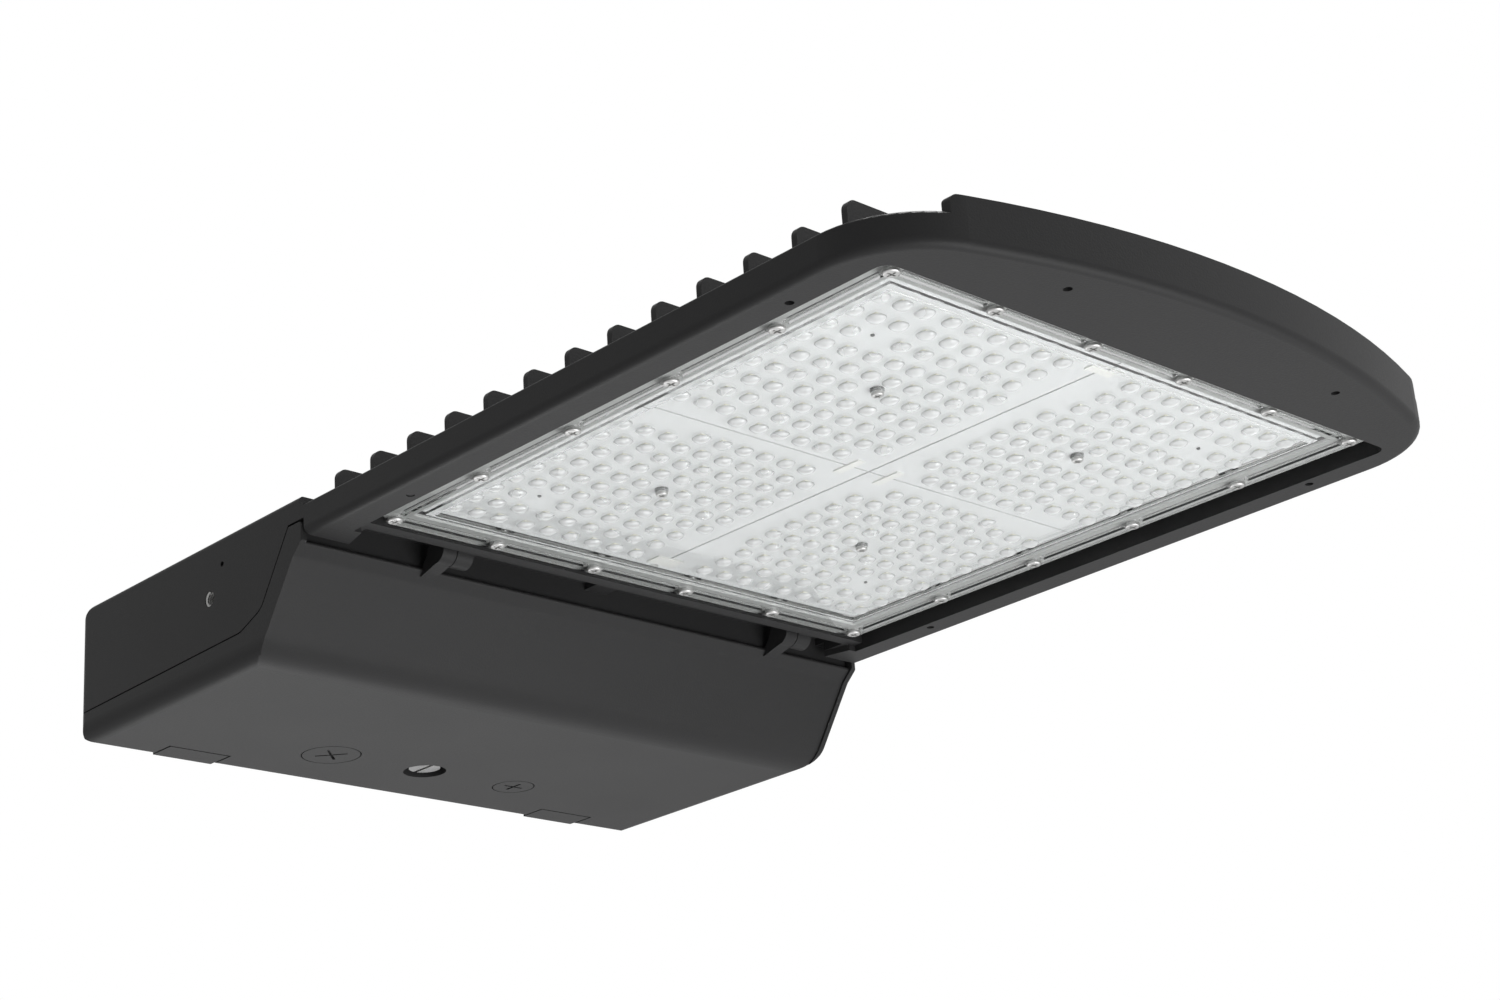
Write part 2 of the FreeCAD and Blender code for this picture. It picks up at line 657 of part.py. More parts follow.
def head_slab(body):
    """The flat head: skirt, heat-sink plate and nose wall."""
    slab = sketch_on(body, "slab", "XY_Plane", "rim_z")
    outline(slab, plan("0", "-foot"))
    pad(body, slab, "skirt_z - rim_z")
    fillet(body, "rim_round", lambda e: lies(e, z="rim_z") and not lies(e, y="-foot"))
    fillet(body, "skirt_round", lambda e: lies(e, z="skirt_z") and not lies(e, y="-foot"))
    plate = sketch_on(body, "plate", "XY_Plane", "skirt_z - 1")
    outline(plate, plan("plate_inset", "-foot"))
    pad(body, plate, "plate_rise + 1")
    visor = sketch_on(body, "visor", "XY_Plane", "skirt_z - 3")
    outer = plan("0", "-foot")
    inner = plan("visor_wall", "-foot")
    ends = {}
    for name, inset in (("outer", "0"), ("inner", "visor_wall")):
        side = "(visor_half - %s)" % CORNER_X
        ends[name] = "%s - sqrt((corner_radius - %s)^2 - %s^2)" % (CORNER_Y, inset, side)
    outline(visor, [
        ("-visor_half", ends["outer"], outer[1][2]),
        (outer[2][0], outer[2][1], outer[2][2]),
        (outer[3][0], outer[3][1], outer[3][2]),
        ("visor_half", ends["outer"]),
        ("visor_half", ends["inner"], inner[3][2], "right"),
        (inner[3][0], inner[3][1], inner[2][2], "right"),
        (inner[2][0], inner[2][1], inner[1][2], "right"),
        ("-visor_half", ends["inner"]),
    ])
    pad(body, visor, "visor_z - skirt_z + 3")
    fillet(body, "rim_round * 0.75", lambda e: lies(e, x="visor_half", z="visor_z")
           or lies(e, x="-visor_half", z="visor_z"))


def compartment_shell(body):
    """The driver compartment: an upturned box whose lower edge is the parting line."""
    side = sketch_on(body, "shell", "YZ_Plane")
    outline(side, [
        ("0", "box_z - box_round", "box_round"), ("-box_round", "box_z"), ("-box_front", "box_z"),
        ("-box_front", PLATE_Z), ("-foot", PLATE_Z), ("-foot", "seam_top_z"),
        ("-seam_top", "seam_top_z"), ("-seam_knee", "seam_knee_z"), ("-seam_bend", "seam_bend_z"),
        ("0", "seam_rear_z"),
    ])
    pad(body, side, "2 * half_width", "Symmetric")
    fillet(body, "seam_round", lambda e: lies(e, y="-seam_knee", z="seam_knee_z")
           or lies(e, y="-seam_bend", z="seam_bend_z"))
    round_off(body, "topedge", "XZ_Plane", "-1", ("half_width", 1), ("box_z", 1),
              "box_side_round", "box_front + 1 + 1", reverse=True)
    cavity = sketch_on(body, "cavity", "XY_Plane", CEILING)
    inner = "(half_width - wall)"
    bend = "(rear_corner - wall)"
    outline(cavity, [
        ("-" + inner, "wall - front_wall"), (inner, "wall - front_wall"),
        (inner, "-rear_wall - %s" % bend, bend), (inner + " - " + bend, "-rear_wall"),
        (bend + " - " + inner, "-rear_wall", bend), ("-" + inner, "-rear_wall - %s" % bend),
    ])
    pocket(body, cavity, "%s - door_z" % CEILING)
    gusset = sketch_on(body, "gusset", "YZ_Plane")
    outline(gusset, [
        ("0.5 - rear_wall", CEILING + " + 0.5"),
        ("-rear_wall - box_gusset", CEILING + " + 0.5"), ("-rear_wall - box_gusset", CEILING),
        ("-rear_wall", CEILING + " - box_gusset"), ("0.5 - rear_wall", CEILING + " - box_gusset"),
    ])
    pad(body, gusset, "2 * %s" % INNER_X, "Symmetric")


def sealing_flange(body):
    """The flange inside the walls that the door's gasket meets."""
    low = parting("rear_wall - 0.5", "land_front_z") + [("-front_wall", "land_front_z")]
    high = [(y, "%s + land_wall" % z) for y, z in reversed(low)]
    band = sketch_on(body, "flange", "YZ_Plane")
    outline(band, low + high)
    pad(body, band, "2 * %s" % INNER_X, "Symmetric")
    mouth = sketch_on(body, "mouth", "XY_Plane", CEILING)
    side = "(half_width - wall - land)"
    rectangle(mouth, "-" + side, side, "-(front_wall - wall - 5)", "-(rib_rear + rib + 3)")
    pocket(body, mouth, "%s - door_z" % CEILING)
    front = sketch_on(body, "front", "YZ_Plane")
    rectangle(front, "-front_wall", "wall - front_wall", "land_front_z", "gap_z + 1")
    pad(body, front, "2 * %s" % INNER_X, "Symmetric")
    turn = sketch_on(body, "turn", "YZ_Plane", "half_width - 2 * wall")
    outline(turn, [
        ("-front_wall", "land_front_z"),
        ("-" + rise_place("land_front_z"), "land_front_z"),
        ("-seam_knee", "seam_knee_z"),
        ("-seam_knee", "gap_z + 1"),
        ("-front_wall", "gap_z + 1"),
    ])
    mirrored(body, [pad(body, turn, "wall + 0.1")])
    round_off(body, "rearcorner", "XY_Plane", "door_z - 1", ("half_width", 1), ("0", 1),
              "rear_corner", "box_z - door_z + 2", reverse=True)


def optics_recess(body):
    """The stepped recess in the head's underside for panel, gasket and boards."""
    side = "(%s + flange + channel)" % HALF_X
    nose = "(-optic_middle - %s - flange - nose_channel)" % HALF_Y
    recess = sketch_on(body, "recess", "XY_Plane", "rim_z")
    outline(recess, [
        ("-foot_half", "1 - foot"), ("-foot_half", "-foot"),
        ("-foot_step_half", "-foot_step"), ("-" + side, "-foot_step"),
        ("-" + side, nose + " + well_round", "well_round"),
        ("well_round - " + side, nose),
        (side + " - well_round", nose, "well_round"),
        (side, nose + " + well_round"),
        (side, "-foot_step"), ("foot_step_half", "-foot_step"),
        ("foot_half", "-foot"), ("foot_half", "1 - foot"),
    ])
    pocket(body, recess, "bar_z - rim_z", reverse=True)
    well = sketch_on(body, "well", "XY_Plane", "bar_z")
    outline(well, [
        ("-" + side, nose + " + well_round", "well_round"),
        ("well_round - " + side, nose),
        (side + " - well_round", nose, "well_round"),
        (side, nose + " + well_round"),
        (side, "%s - optic_middle + flange + 0.8" % HALF_Y),
        ("-" + side, "%s - optic_middle + flange + 0.8" % HALF_Y),
    ])
    pocket(body, well, "%s - bar_z" % LAND_Z, reverse=True)
    chamber = sketch_on(body, "chamber", "XY_Plane", LAND_Z)
    rectangle(chamber, "chamber_inset - %s" % HALF_X, "%s - chamber_inset" % HALF_X,
              "-optic_middle - %s + chamber_inset" % HALF_Y,
              "-optic_middle + %s - chamber_inset" % HALF_Y)
    pocket(body, chamber, "%s - %s" % (SEAT_Z, LAND_Z), reverse=True)
    gap = sketch_on(body, "gap", "XY_Plane", "rim_z")
    rectangle(gap, "-foot_half", "foot_half", "-bar_back", "-front_wall")
    pocket(body, gap, "gap_z - rim_z", reverse=True)


def wire_duct(body):
    """The covered bore that takes the leads from the compartment to the boards."""
    for name, low, high, front in (("ductfoot", "duct_z - duct - 1.3", "gap_z + 0.5", "-bar_back - 0.5"),
                                   ("ductroof", "%s - 0.5" % PLATE_Z, "duct_cover", "-duct_end - 2")):
        cover = sketch_on(body, name, "XY_Plane", low)
        rectangle(cover, "-duct_half", "duct_half", front, "-front_wall + 0.5")
        pad(body, cover, "%s - (%s)" % (high, low))
    bore = sketch_on(body, "duct", "XZ_Plane", "front_wall - wall - 1")
    circle(bore, "0", "duct_z", "duct")
    pocket(body, bore, "duct_end - front_wall + wall + 1", reverse=True)
    drop = sketch_on(body, "drop", "XY_Plane", "%s - 0.5" % SEAT_Z)
    circle(drop, "0", "-duct_drop", "duct - 0.4")
    pocket(body, drop, "duct_z - %s + 0.5" % SEAT_Z, reverse=True)


def cooling_fins(body):
    """The row of fins across the top of the head."""
    fin = sketch_on(body, "fin", "XZ_Plane", "fin_first")
    outline(fin, [
        ("-fin_half", "%s - 0.5" % PLATE_Z), ("fin_half", "%s - 0.5" % PLATE_Z),
        ("fin_half", "fin_z - fin_round", "fin_round"), ("fin_half - fin_round", "fin_z"),
        ("fin_round - fin_half", "fin_z", "fin_round"), ("-fin_half", "fin_z - fin_round"),
    ])
    first = pad(body, fin, "fin_wall")
    row = body.newObject("PartDesign::LinearPattern", "fin_row")
    row.Originals = [first]
    axes = [f for f in body.Origin.OriginFeatures if f.Role == "Y_Axis"]
    row.Direction = (axes[0], [""])
    row.Reversed = True
    row.setExpression("Length", bound("fin_pitch * (fin_count - 1)"))
    row.setExpression("Occurrences", bound("fin_count"))
    body.Tip = row
    doc.recompute()


def hinge_lugs(body):
    """The housing's half of the hinge: two lugs on the bar behind the panel."""
    for name, side in (("leftlug", "left_hinge"), ("rightlug", "right_hinge")):
        root = sketch_on(body, name + "root", "YZ_Plane", side)
        outline(root, [
            ("-bar_back - 0.5", "bar_z"), ("-hinge_y", "bar_z"), ("-hinge_y", "gap_z + 0.5"),
            ("-bar_back - 0.5", "gap_z + 0.5"),
        ])
        pad(body, root, "lug_width")
        lug = sketch_on(body, name, "YZ_Plane", side)
        circle(lug, "-hinge_y", "hinge_z", "barrel")
        pad(body, lug, "lug_width")
        bore = sketch_on(body, name + "bore", "YZ_Plane", side)
        circle(bore, "-hinge_y", "hinge_z", "pin")
        pocket(body, bore, "lug_width", reverse=True)


def rear_tongues(body):
    """Two tongues of the rear wall that fill the door's notches."""
    tongue = sketch_on(body, "tongue", "YZ_Plane", "notch_inner + notch_gap")
    outline(tongue, [
        ("0", seam_height("0") + " + 1"), ("0", "door_z"),
        ("notch_gap - notch_depth", "door_z"), ("notch_gap - notch_depth", "door_z + tongue_wall"),
        ("-tongue_wall", "door_z + tongue_wall"), ("-tongue_wall", seam_height("0") + " + 1"),
    ])
    mirrored(body, [pad(body, tongue, "notch_outer - notch_inner - 2 * notch_gap")])


def housing_bosses(body):
    """Bosses for the captive screw, the side holes and the arm bolts."""
    catch = sketch_on(body, "catch", "XY_Plane", "catch_boss_z")
    circle(catch, "0", "-port_y", "catch_boss")
    pad(body, catch, "%s - catch_boss_z + 0.5" % CEILING)
    mouth = sketch_on(body, "catchmouth", "XY_Plane", "catch_boss_z")
    circle(mouth, "0", "-port_y", "catch_mouth")
    pocket(body, mouth, "catch_mouth_depth", reverse=True)
    thread = sketch_on(body, "catchthread", "XY_Plane", "catch_boss_z + catch_mouth_depth")
    circle(thread, "0", "-port_y", "catch_thread")
    pocket(body, thread, "catch_thread_depth", reverse=True)
    inner = sketch_on(body, "sideboss", "YZ_Plane", "half_width - side_boss_depth")
    circle(inner, "-side_thread_y", "side_thread_z", "side_boss")
    mirrored(body, [pad(body, inner, "side_boss_depth - wall + 0.5")])
    hole = sketch_on(body, "sidehole", "YZ_Plane", "half_width")
    circle(hole, "-side_thread_y", "side_thread_z", "side_thread")
    mirrored(body, [pocket(body, hole, "side_thread_depth")])
    dimple = sketch_on(body, "dimple", "YZ_Plane", "half_width")
    circle(dimple, "-dimple_y", "dimple_z", "dimple")
    mirrored(body, [pocket(body, dimple, "dimple_depth")])
    patch = sketch_on(body, "armpad", "XZ_Plane", "rear_wall - 0.5")
    rectangle(patch, "-arm_pad_half", "arm_pad_half", "-arm_pad_z", "arm_pad_z")
    pad(body, patch, "arm_pad - rear_wall + 0.5")
    bolts = sketch_on(body, "armholes", "XZ_Plane", "-1")
    circle(bolts, "-arm_pitch / 2", "0", "arm_hole")
    circle(bolts, "arm_pitch / 2", "0", "arm_hole")
    circle(bolts, "0", "0", "entry")
    pocket(body, bolts, "arm_pad + 2", reverse=True)
    seat = sketch_on(body, "armseal", "XZ_Plane", "0")
    circle(seat, "0", "0", "arm_seal_outer")
    pocket(body, seat, "arm_seal_wall", reverse=True)
    core = sketch_on(body, "armcore", "XZ_Plane", "0")
    circle(core, "0", "0", "arm_seal_inner")
    circle(core, "0", "0", "entry")
    pad(body, core, "arm_seal_wall")


def screw_holes(body):
    """Tapped holes for the panel, the boards and the parts on the ceiling."""
    lens = sketch_on(body, "lensholes", "XY_Plane", LAND_Z)
    for x, y in lens_screw_places():
        circle(lens, x, y, "lens_shank")
    depth = "lens_shank_length - flange_wall - seal_wall"
    pocket(body, lens, depth, reverse=True)
    boards = sketch_on(body, "boardholes", "XY_Plane", SEAT_Z)
    for x, y in board_screw_places():
        circle(boards, x, y, "board_shank")
    pocket(body, boards, "board_shank_length - (%s - %s)" % (SEAT_Z, PANE_Z), reverse=True)
    shields = sketch_on(body, "shieldholes", "XY_Plane", "rim_z")
    for x, y in (("-shield_side", "-shield_front"), ("shield_side", "-shield_front"),
                 ("shield_side", "-shield_rear"), ("-shield_nose", "-shield_nose_y"),
                 ("shield_nose", "-shield_nose_y")):
        circle(shields, x, y, "shield_hole")
    pocket(body, shields, "shield_depth", reverse=True)
    mark = sketch_on(body, "blindhole", "XY_Plane", "rim_z")
    circle(mark, "-shield_side", "-shield_rear", "shield_hole")
    pocket(body, mark, "0.4", reverse=True)
    ceiling = sketch_on(body, "ceilingholes", "XY_Plane", CEILING)
    for x, y in ceiling_screw_places():
        circle(ceiling, x, y, "small_screw_shank")
    circle(ceiling, "earth_x", "-earth_y", "small_screw_shank")
    pocket(body, ceiling, "ceiling_thread", reverse=True)


def ceiling_screw_places():
    """The tray's four screws."""
    return [(x, y) for x in ("tray_left + 5", "tray_right - 5")
            for y in ("-tray_front + 5", "-tray_rear - 5")]


def head_housing():
    body = new_body("housing")
    head_slab(body)
    compartment_shell(body)
    sealing_flange(body)
    optics_recess(body)
    hinge_lugs(body)
    wire_duct(body)
    rear_tongues(body)
    housing_bosses(body)
    screw_holes(body)
    cooling_fins(body)
    node(body, "head_housing")


# ---------------------------------------------------------------- door

RUN = "(flare - slope_end)"
DROP = "(flare_z - door_z)"
SLOPE = "sqrt(%s^2 + %s^2)" % (RUN, DROP)
LIP = "sqrt((door_front - flare)^2 + (lip_z - flare_z)^2)"
FLOOR = "(door_z + door_wall)"
SKIN = "(slope_dip + slope_wall)"


def slope_place(depth, height):
    """Where the slope, moved inwards by a depth, is at a height."""
    back = "(%s) * %s / %s" % (depth, SLOPE, DROP)
    return "(-slope_end - (%s - door_z) * %s / %s + %s)" % (height, RUN, DROP, back)


def slope_height(depth, place):
    """The height at which the slope, moved inwards by a depth, is at a place."""
    back = "(%s) * %s / %s" % (depth, SLOPE, DROP)
    return "(door_z + (-slope_end - (%s) + %s) * %s / %s)" % (place, back, DROP, RUN)


def fold(depth, height, radius):
    """The two ends of the arc between the slope and a floor at a height."""
    reach = "((%s) * (%s - %s) / %s)" % (radius, SLOPE, RUN, DROP)
    corner = slope_place(depth, height)
    return [("%s - %s * %s / %s" % (corner, reach, RUN, SLOPE),
             "%s + %s * %s / %s" % (height, reach, DROP, SLOPE)),
            ("%s + %s" % (corner, reach), height)]


def flare_place(depth, height):
    """Where the lip's lean, moved inwards by a depth, is at a height."""
    back = "(%s) * %s / (lip_z - flare_z)" % (depth, LIP)
    return "(-flare - (%s - flare_z) * (door_front - flare) / (lip_z - flare_z) + %s)" % (height, back)


def flare_bend(depth):
    """The bend between lip and slope, moved inwards by a depth."""
    lean = "((door_front - flare) / (lip_z - flare_z) - %s / %s)" % (RUN, DROP)
    back = "(%s / (lip_z - flare_z) - %s / %s)" % (LIP, SLOPE, DROP)
    height = "(flare_z + (%s) * %s / %s)" % (depth, back, lean)
    return (slope_place(depth, height), height)


def door_shell(body):
    """The door: a tray with a sloping front and side walls up to the parting line."""
    side = sketch_on(body, "doorshell", "YZ_Plane")
    outline(side, parting("0", "seam_top_z - seam_gap", "seam_gap") + [
        ("-door_front", "seam_top_z - seam_gap"), ("-door_front", "lip_z"),
        ("-flare", "flare_z"),
        ("-slope_end", "door_z"), ("-door_rear_round", "door_z", "door_rear_round"),
        ("0", "door_z + door_rear_round"),
    ])
    pad(body, side, "2 * half_width", "Symmetric")
    fillet(body, "fold_round", lambda e: lies(e, y="-slope_end", z="door_z"))
    fillet(body, "seam_round + seam_gap", lambda e: any(
        lies(e, y=y, z=z) for y, z in parting("0", "seam_top_z", "seam_gap")[1:3]))
    fillet(body, "flare_round", lambda e: lies(e, y="-flare", z="flare_z"))
    fillet(body, "2 * lip_round", lambda e: lies(e, y="-door_front", z="seam_top_z - seam_gap"))
    fillet(body, "cheek_round", lambda e: lies(e, x="half_width", y="-door_front")
           or lies(e, x="-half_width", y="-door_front"))
    steep, level = fold("slope_dip", "door_z", "fold_round")
    dip = sketch_on(body, "dip", "YZ_Plane")
    outline(dip, [
        (level[0], "door_z - 1"), level + ("fold_round", "right"), steep, flare_bend("slope_dip"),
        (flare_place("slope_dip", "lip_top"), "lip_top"), ("-seam_top + 2.5", "lip_top"),
        ("-seam_top + 2.5", "seam_top_z + 1"), ("-door_front - 4", "seam_top_z + 1"),
        ("-door_front - 4", "door_z - 1"),
    ])
    pocket(body, dip, "2 * (half_width - cheek_bead)", "Symmetric")
    fillet(body, "flare_round", lambda e: lies(e, y=flare_bend("slope_dip")[0],
                                               z=flare_bend("slope_dip")[1]))
    fillet(body, "lip_round", lambda e: lies(e, y=flare_place("slope_dip", "lip_top"), z="lip_top"))
    round_off(body, "doorrear", "XY_Plane", "door_z - 1", ("half_width", 1), ("0", 1),
              "rear_corner", "-door_z + 2", reverse=True)
    round_off(body, "dooredge", "XZ_Plane", "-1", ("half_width", 1), ("door_z", -1),
              "door_edge", "door_front + 3", reverse=True)


def door_inside(body):
    """The door's hollow, with the rib that carries its gasket."""
    lip = "(-front_wall - lip_air)"
    steep, level = fold(SKIN, FLOOR, "fold_round - " + SKIN)
    bend = (steep[0], steep[1], "fold_round - " + SKIN)
    hollow = sketch_on(body, "hollow", "YZ_Plane")
    outline(hollow, [
        ("-rear_corner", "seam_top_z + 1"), (lip, "seam_top_z + 1"), (lip, "lip_step"),
        (slope_place(SKIN, "lip_step"), "lip_step"), bend, level, ("-rear_corner", FLOOR),
    ])
    pocket(body, hollow, "2 * (half_width - cheek_wall)", "Symmetric")
    rear = sketch_on(body, "hollowrear", "XY_Plane", FLOOR)
    rectangle(rear, "rear_corner - half_width", "half_width - rear_corner",
              "-rear_corner - 1", "-door_wall")
    pocket(body, rear, "20", reverse=True)
    drop = "seal_air + door_seal"
    ridge = sketch_on(body, "ridge", "YZ_Plane")
    outline(ridge, parting("rib_rear", "land_front_z - seal_air - door_seal", drop) + [
        ("-rib_front", "land_front_z - seal_air - door_seal"),
        ("-rib_front", "land_front_z - 5.5"),
        (steep[0] + " - 0.5", steep[1]), (level[0], FLOOR + " - 0.5"),
        ("-rib_rear", FLOOR + " - 0.5"),
    ])
    pad(body, ridge, "2 * rib_side", "Symmetric")
    inner = sketch_on(body, "ridgehollow", "YZ_Plane")
    front = "(rib - rib_front)"
    outline(inner, [
        ("-rib_rear - rib", "seam_top_z"), (front, "seam_top_z"),
        (front, slope_height(SKIN, front)), bend, level, ("-rib_rear - rib", FLOOR),
    ])
    pocket(body, inner, "2 * (rib_side - rib)", "Symmetric")


def door_ports(body):
    """Bosses and holes for the plugs and the captive screw, and the rear notches."""
    bosses = sketch_on(body, "portbosses", "XY_Plane", "door_z + door_wall - 0.5")
    circle(bosses, "-plug_x", "-port_y", "large_head + port_boss")
    circle(bosses, "plug_x", "-port_y", "small_head + port_boss")
    circle(bosses, "0", "-port_y", "catch_well + port_boss")
    pad(body, bosses, "door_boss_z - door_z - door_wall + 0.5")
    heads = sketch_on(body, "portheads", "XY_Plane", "door_z")
    circle(heads, "-plug_x", "-port_y", "large_head + plug_play")
    circle(heads, "plug_x", "-port_y", "small_head + plug_play")
    pocket(body, heads, "plug_head + plug_seal", reverse=True)
    well = sketch_on(body, "catchwell", "XY_Plane", "door_z")
    circle(well, "0", "-port_y", "catch_well")
    pocket(body, well, "catch_sink + catch_head_height", reverse=True)
    necks = sketch_on(body, "portnecks", "XY_Plane", "door_z")
    circle(necks, "-plug_x", "-port_y", "large_neck")
    circle(necks, "plug_x", "-port_y", "small_neck")
    circle(necks, "0", "-port_y", "catch_shank + catch_play")
    pocket(body, necks, "door_boss_z - door_z", reverse=True)
    notch = sketch_on(body, "notch", "XY_Plane", "door_z - 1")
    rectangle(notch, "notch_inner", "notch_outer", "-notch_depth", "1")
    mirrored(body, [pocket(body, notch, "seam_rear_z - door_z + 2", reverse=True)])


def door_arms(body):
    """The door's half of the hinge: two arms from the lip to the barrels."""
    for name, low in (("leftarm", "left_hinge - hinge_gap - arm_width"),
                      ("rightarm", "right_hinge - hinge_gap - arm_width")):
        web = sketch_on(body, name + "web", "YZ_Plane", low)
        outline(web, [
            ("-hinge_y", "hinge_z - barrel"), ("-front_wall - 0.6", "lip_step - 3"),
            ("-front_wall + 0.5", "lip_step - 0.8"), ("-front_wall - 1.6", "lip_top - 0.2"),
            ("barrel - hinge_y", "hinge_z"), ("-hinge_y", "hinge_z"),
        ])
        pad(body, web, "arm_width")
        barrel = sketch_on(body, name, "YZ_Plane", low)
        circle(barrel, "-hinge_y", "hinge_z", "barrel")
        pad(body, barrel, "arm_width")
        bore = sketch_on(body, name + "bore", "YZ_Plane", low + " + pin_cover")
        circle(bore, "-hinge_y", "hinge_z", "pin + pin_play")
        pocket(body, bore, "arm_width - pin_cover", reverse=True)


def driver_door():
    body = new_body("door")
    door_shell(body)
    door_inside(body)
    door_ports(body)
    door_arms(body)
    node(body, "driver_door")


def door_gasket():
    """The gasket on the door's rib."""
    body = new_body("doorseal")
    band = sketch_on(body, "sealband", "YZ_Plane")
    low = "seal_air + door_seal"
    lower = parting("rib_rear", "land_front_z - " + low.replace(" + ", " - "), low)
    upper = parting("rib_rear", "land_front_z - seal_air", "seal_air")
    outline(band, upper + [("-rib_front", "land_front_z - seal_air"),
                           ("-rib_front", "land_front_z - seal_air - door_seal")] + lower[::-1])
    pad(body, band, "2 * rib_side", "Symmetric")
    hole = sketch_on(body, "sealhole", "XY_Plane", "door_z")
    rectangle(hole, "rib - rib_side", "rib_side - rib", "rib - rib_front", "-rib_rear - rib")
    pocket(body, hole, "-door_z + land_front_z", reverse=True)
    node(body, "door_gasket")


def hinge_pins():
    pins = []
    for name, side in (("leftpin", "left_hinge"), ("rightpin", "right_hinge")):
        pins.append(rod(name, "pin", "x", "%s - hinge_gap - arm_width + pin_cover" % side,
                        "%s + lug_width" % side, y="-hinge_y", z="hinge_z"))
    node(fuse("pins", pins), "hinge_pins")


def cross(name, x, length, turn):
    """A cross slot for a plug's head."""
    bars = [
        block(name + "_a", ("-(%s) / 2" % length, "(%s) / 2" % length), ("-slot / 2", "slot / 2"),
              ("door_z - 1", "door_z + slot_depth")),
        block(name + "_b", ("-slot / 2", "slot / 2"), ("-(%s) / 2" % length, "(%s) / 2" % length),
              ("door_z - 1", "door_z + slot_depth")),
    ]
    slots = fuse(name, bars)
    slots.Placement = Placement(Vector(), Rotation(UP, turn))
    slots.setExpression("Placement.Base.x", bound(x))
    slots.setExpression("Placement.Base.y", bound("-port_y"))
    return slots


def plug(label, x, size, turn):
    """A threaded plug with its cross slot, and the ring that seals it."""
    place = {"x": x, "y": "-port_y"}
    top = "door_z + plug_head"
    head = rod(label + "_head", size + "_head", "z", "door_z", top, **place)
    neck = rod(label + "_neck", size + "_neck", "z", top, top + " + plug_length", **place)
    bore = rod(label + "_bore", size + "_neck - 3", "z", top + " + 1",
               top + " + plug_length + 1", **place)
    slots = cross(label + "_slot", x, size + "_slot", turn)
    node(cut(label + "_body", fuse(label + "_solid", [head, neck]), [bore, slots]), label)
    ring = rod(label + "_ring", size + "_head - 0.5", "z", top, top + " + plug_seal", **place)
    eye = rod(label + "_eye", size + "_neck", "z", top + " - 1", top + " + plug_seal + 1", **place)
    node(cut(label + "_washer", ring, [eye]), label + "_seal")


def door_screw():
    """The captive screw and the ring that keeps it in the door."""
    place = {"x": "0", "y": "-port_y"}
    head_z = "(door_z + catch_sink)"
    seat_z = "(door_z + catch_sink + catch_head_height)"
    ring_z = "(door_boss_z + 0.3)"
    ring_top = "(door_boss_z + 0.3 + catch_ring_wall)"
    parts = [
        rod("catch_head_rod", "catch_head", "z", head_z, seat_z, **place),
        rod("catch_lower", "catch_shank", "z", seat_z, ring_z, **place),
        rod("catch_groove", "catch_shank - 0.6", "z", ring_z, ring_top, **place),
        rod("catch_upper", "catch_shank", "z", ring_top, "catch_tip_z", **place),
    ]
    slot = block("catch_cut", ("-catch_slot / 2", "catch_slot / 2"),
                 ("-port_y - catch_head - 1", "-port_y + catch_head + 1"),
                 (head_z + " - 1", head_z + " + catch_slot_depth"))
    node(cut("catch_body", fuse("catch_solid", parts), [slot]), "door_screw")
    ring = rod("catch_ring_rod", "catch_ring", "z", ring_z, ring_top, **place)
    eye = rod("catch_ring_eye", "catch_shank - 0.6", "z", ring_z + " - 1", ring_top + " + 1", **place)
    node(cut("catch_ring_body", ring, [eye]), "door_screw_ring")


# ---------------------------------------------------------------- optics

def between_screws(sketch):
    """The long slots between one panel screw and the next."""
    across = places_across()
    along = places_along()
    for y in (along[0], along[-1]):
        for start, end in zip(across, across[1:]):
            rectangle(sketch, start + " + boss_radius", end + " - boss_radius",
                      y + " - groove / 2", y + " + groove / 2")
    for x in (across[0], across[-1]):
        for start, end in zip(along, along[1:]):
            rectangle(sketch, x + " - groove / 2", x + " + groove / 2",
                      start + " + boss_radius", end + " - boss_radius")


def lens_cover():
    """The clear panel: a flat edge with screw bosses and a raised middle."""
    body = new_body("cover")
    edge = sketch_on(body, "edge", "XY_Plane", "flange_z")
    side = "(%s + flange)" % HALF_X
    front = "(-optic_middle - %s - flange)" % HALF_Y
    rear = "(-optic_middle + %s + flange)" % HALF_Y
    outline(edge, [("-" + side, front), (side, front), (side, rear),
                   ("flange - " + side, rear), ("-" + side, rear + " - flange")])
    pad(body, edge, "flange_wall")
    middle_x = "(%s - pane_inset)" % HALF_X
    middle_y = "(%s - pane_inset)" % HALF_Y
    crown = sketch_on(body, "crown", "XY_Plane", "flange_z + flange_wall - 0.5")
    rectangle(crown, "-%s - flange_wall" % middle_x, middle_x + " + flange_wall",
              "-optic_middle - %s - flange_wall" % middle_y,
              "-optic_middle + %s + flange_wall" % middle_y)
    pad(body, crown, "%s - flange_z - flange_wall + 0.5" % PANE_TOP)
    sunk = sketch_on(body, "sunk", "XY_Plane", "flange_z")
    rectangle(sunk, "-" + middle_x, middle_x, "-optic_middle - " + middle_y,
              "-optic_middle + " + middle_y)
    pocket(body, sunk, "pane_rise", reverse=True)
    posts = sketch_on(body, "posts", "XY_Plane", "%s - 0.5" % PANE_TOP)
    for x, y in board_screw_places():
        circle(posts, x, y, "board_head + 0.4")
    pad(body, posts, "%s - %s + 0.5" % (BOARD_Z, PANE_TOP))
    grooves = sketch_on(body, "grooves", "XY_Plane", "flange_z")
    between_screws(grooves)
    pocket(body, grooves, "groove_depth", reverse=True)
    holes = sketch_on(body, "coverholes", "XY_Plane", "flange_z")
    for x, y in lens_screw_places():
        circle(holes, x, y, "lens_shank + screw_play")
    for x, y in board_screw_places():
        circle(holes, x, y, "board_shank + screw_play")
    pocket(body, holes, "%s - flange_z" % BOARD_Z, reverse=True)
    node(body, "lens_cover")


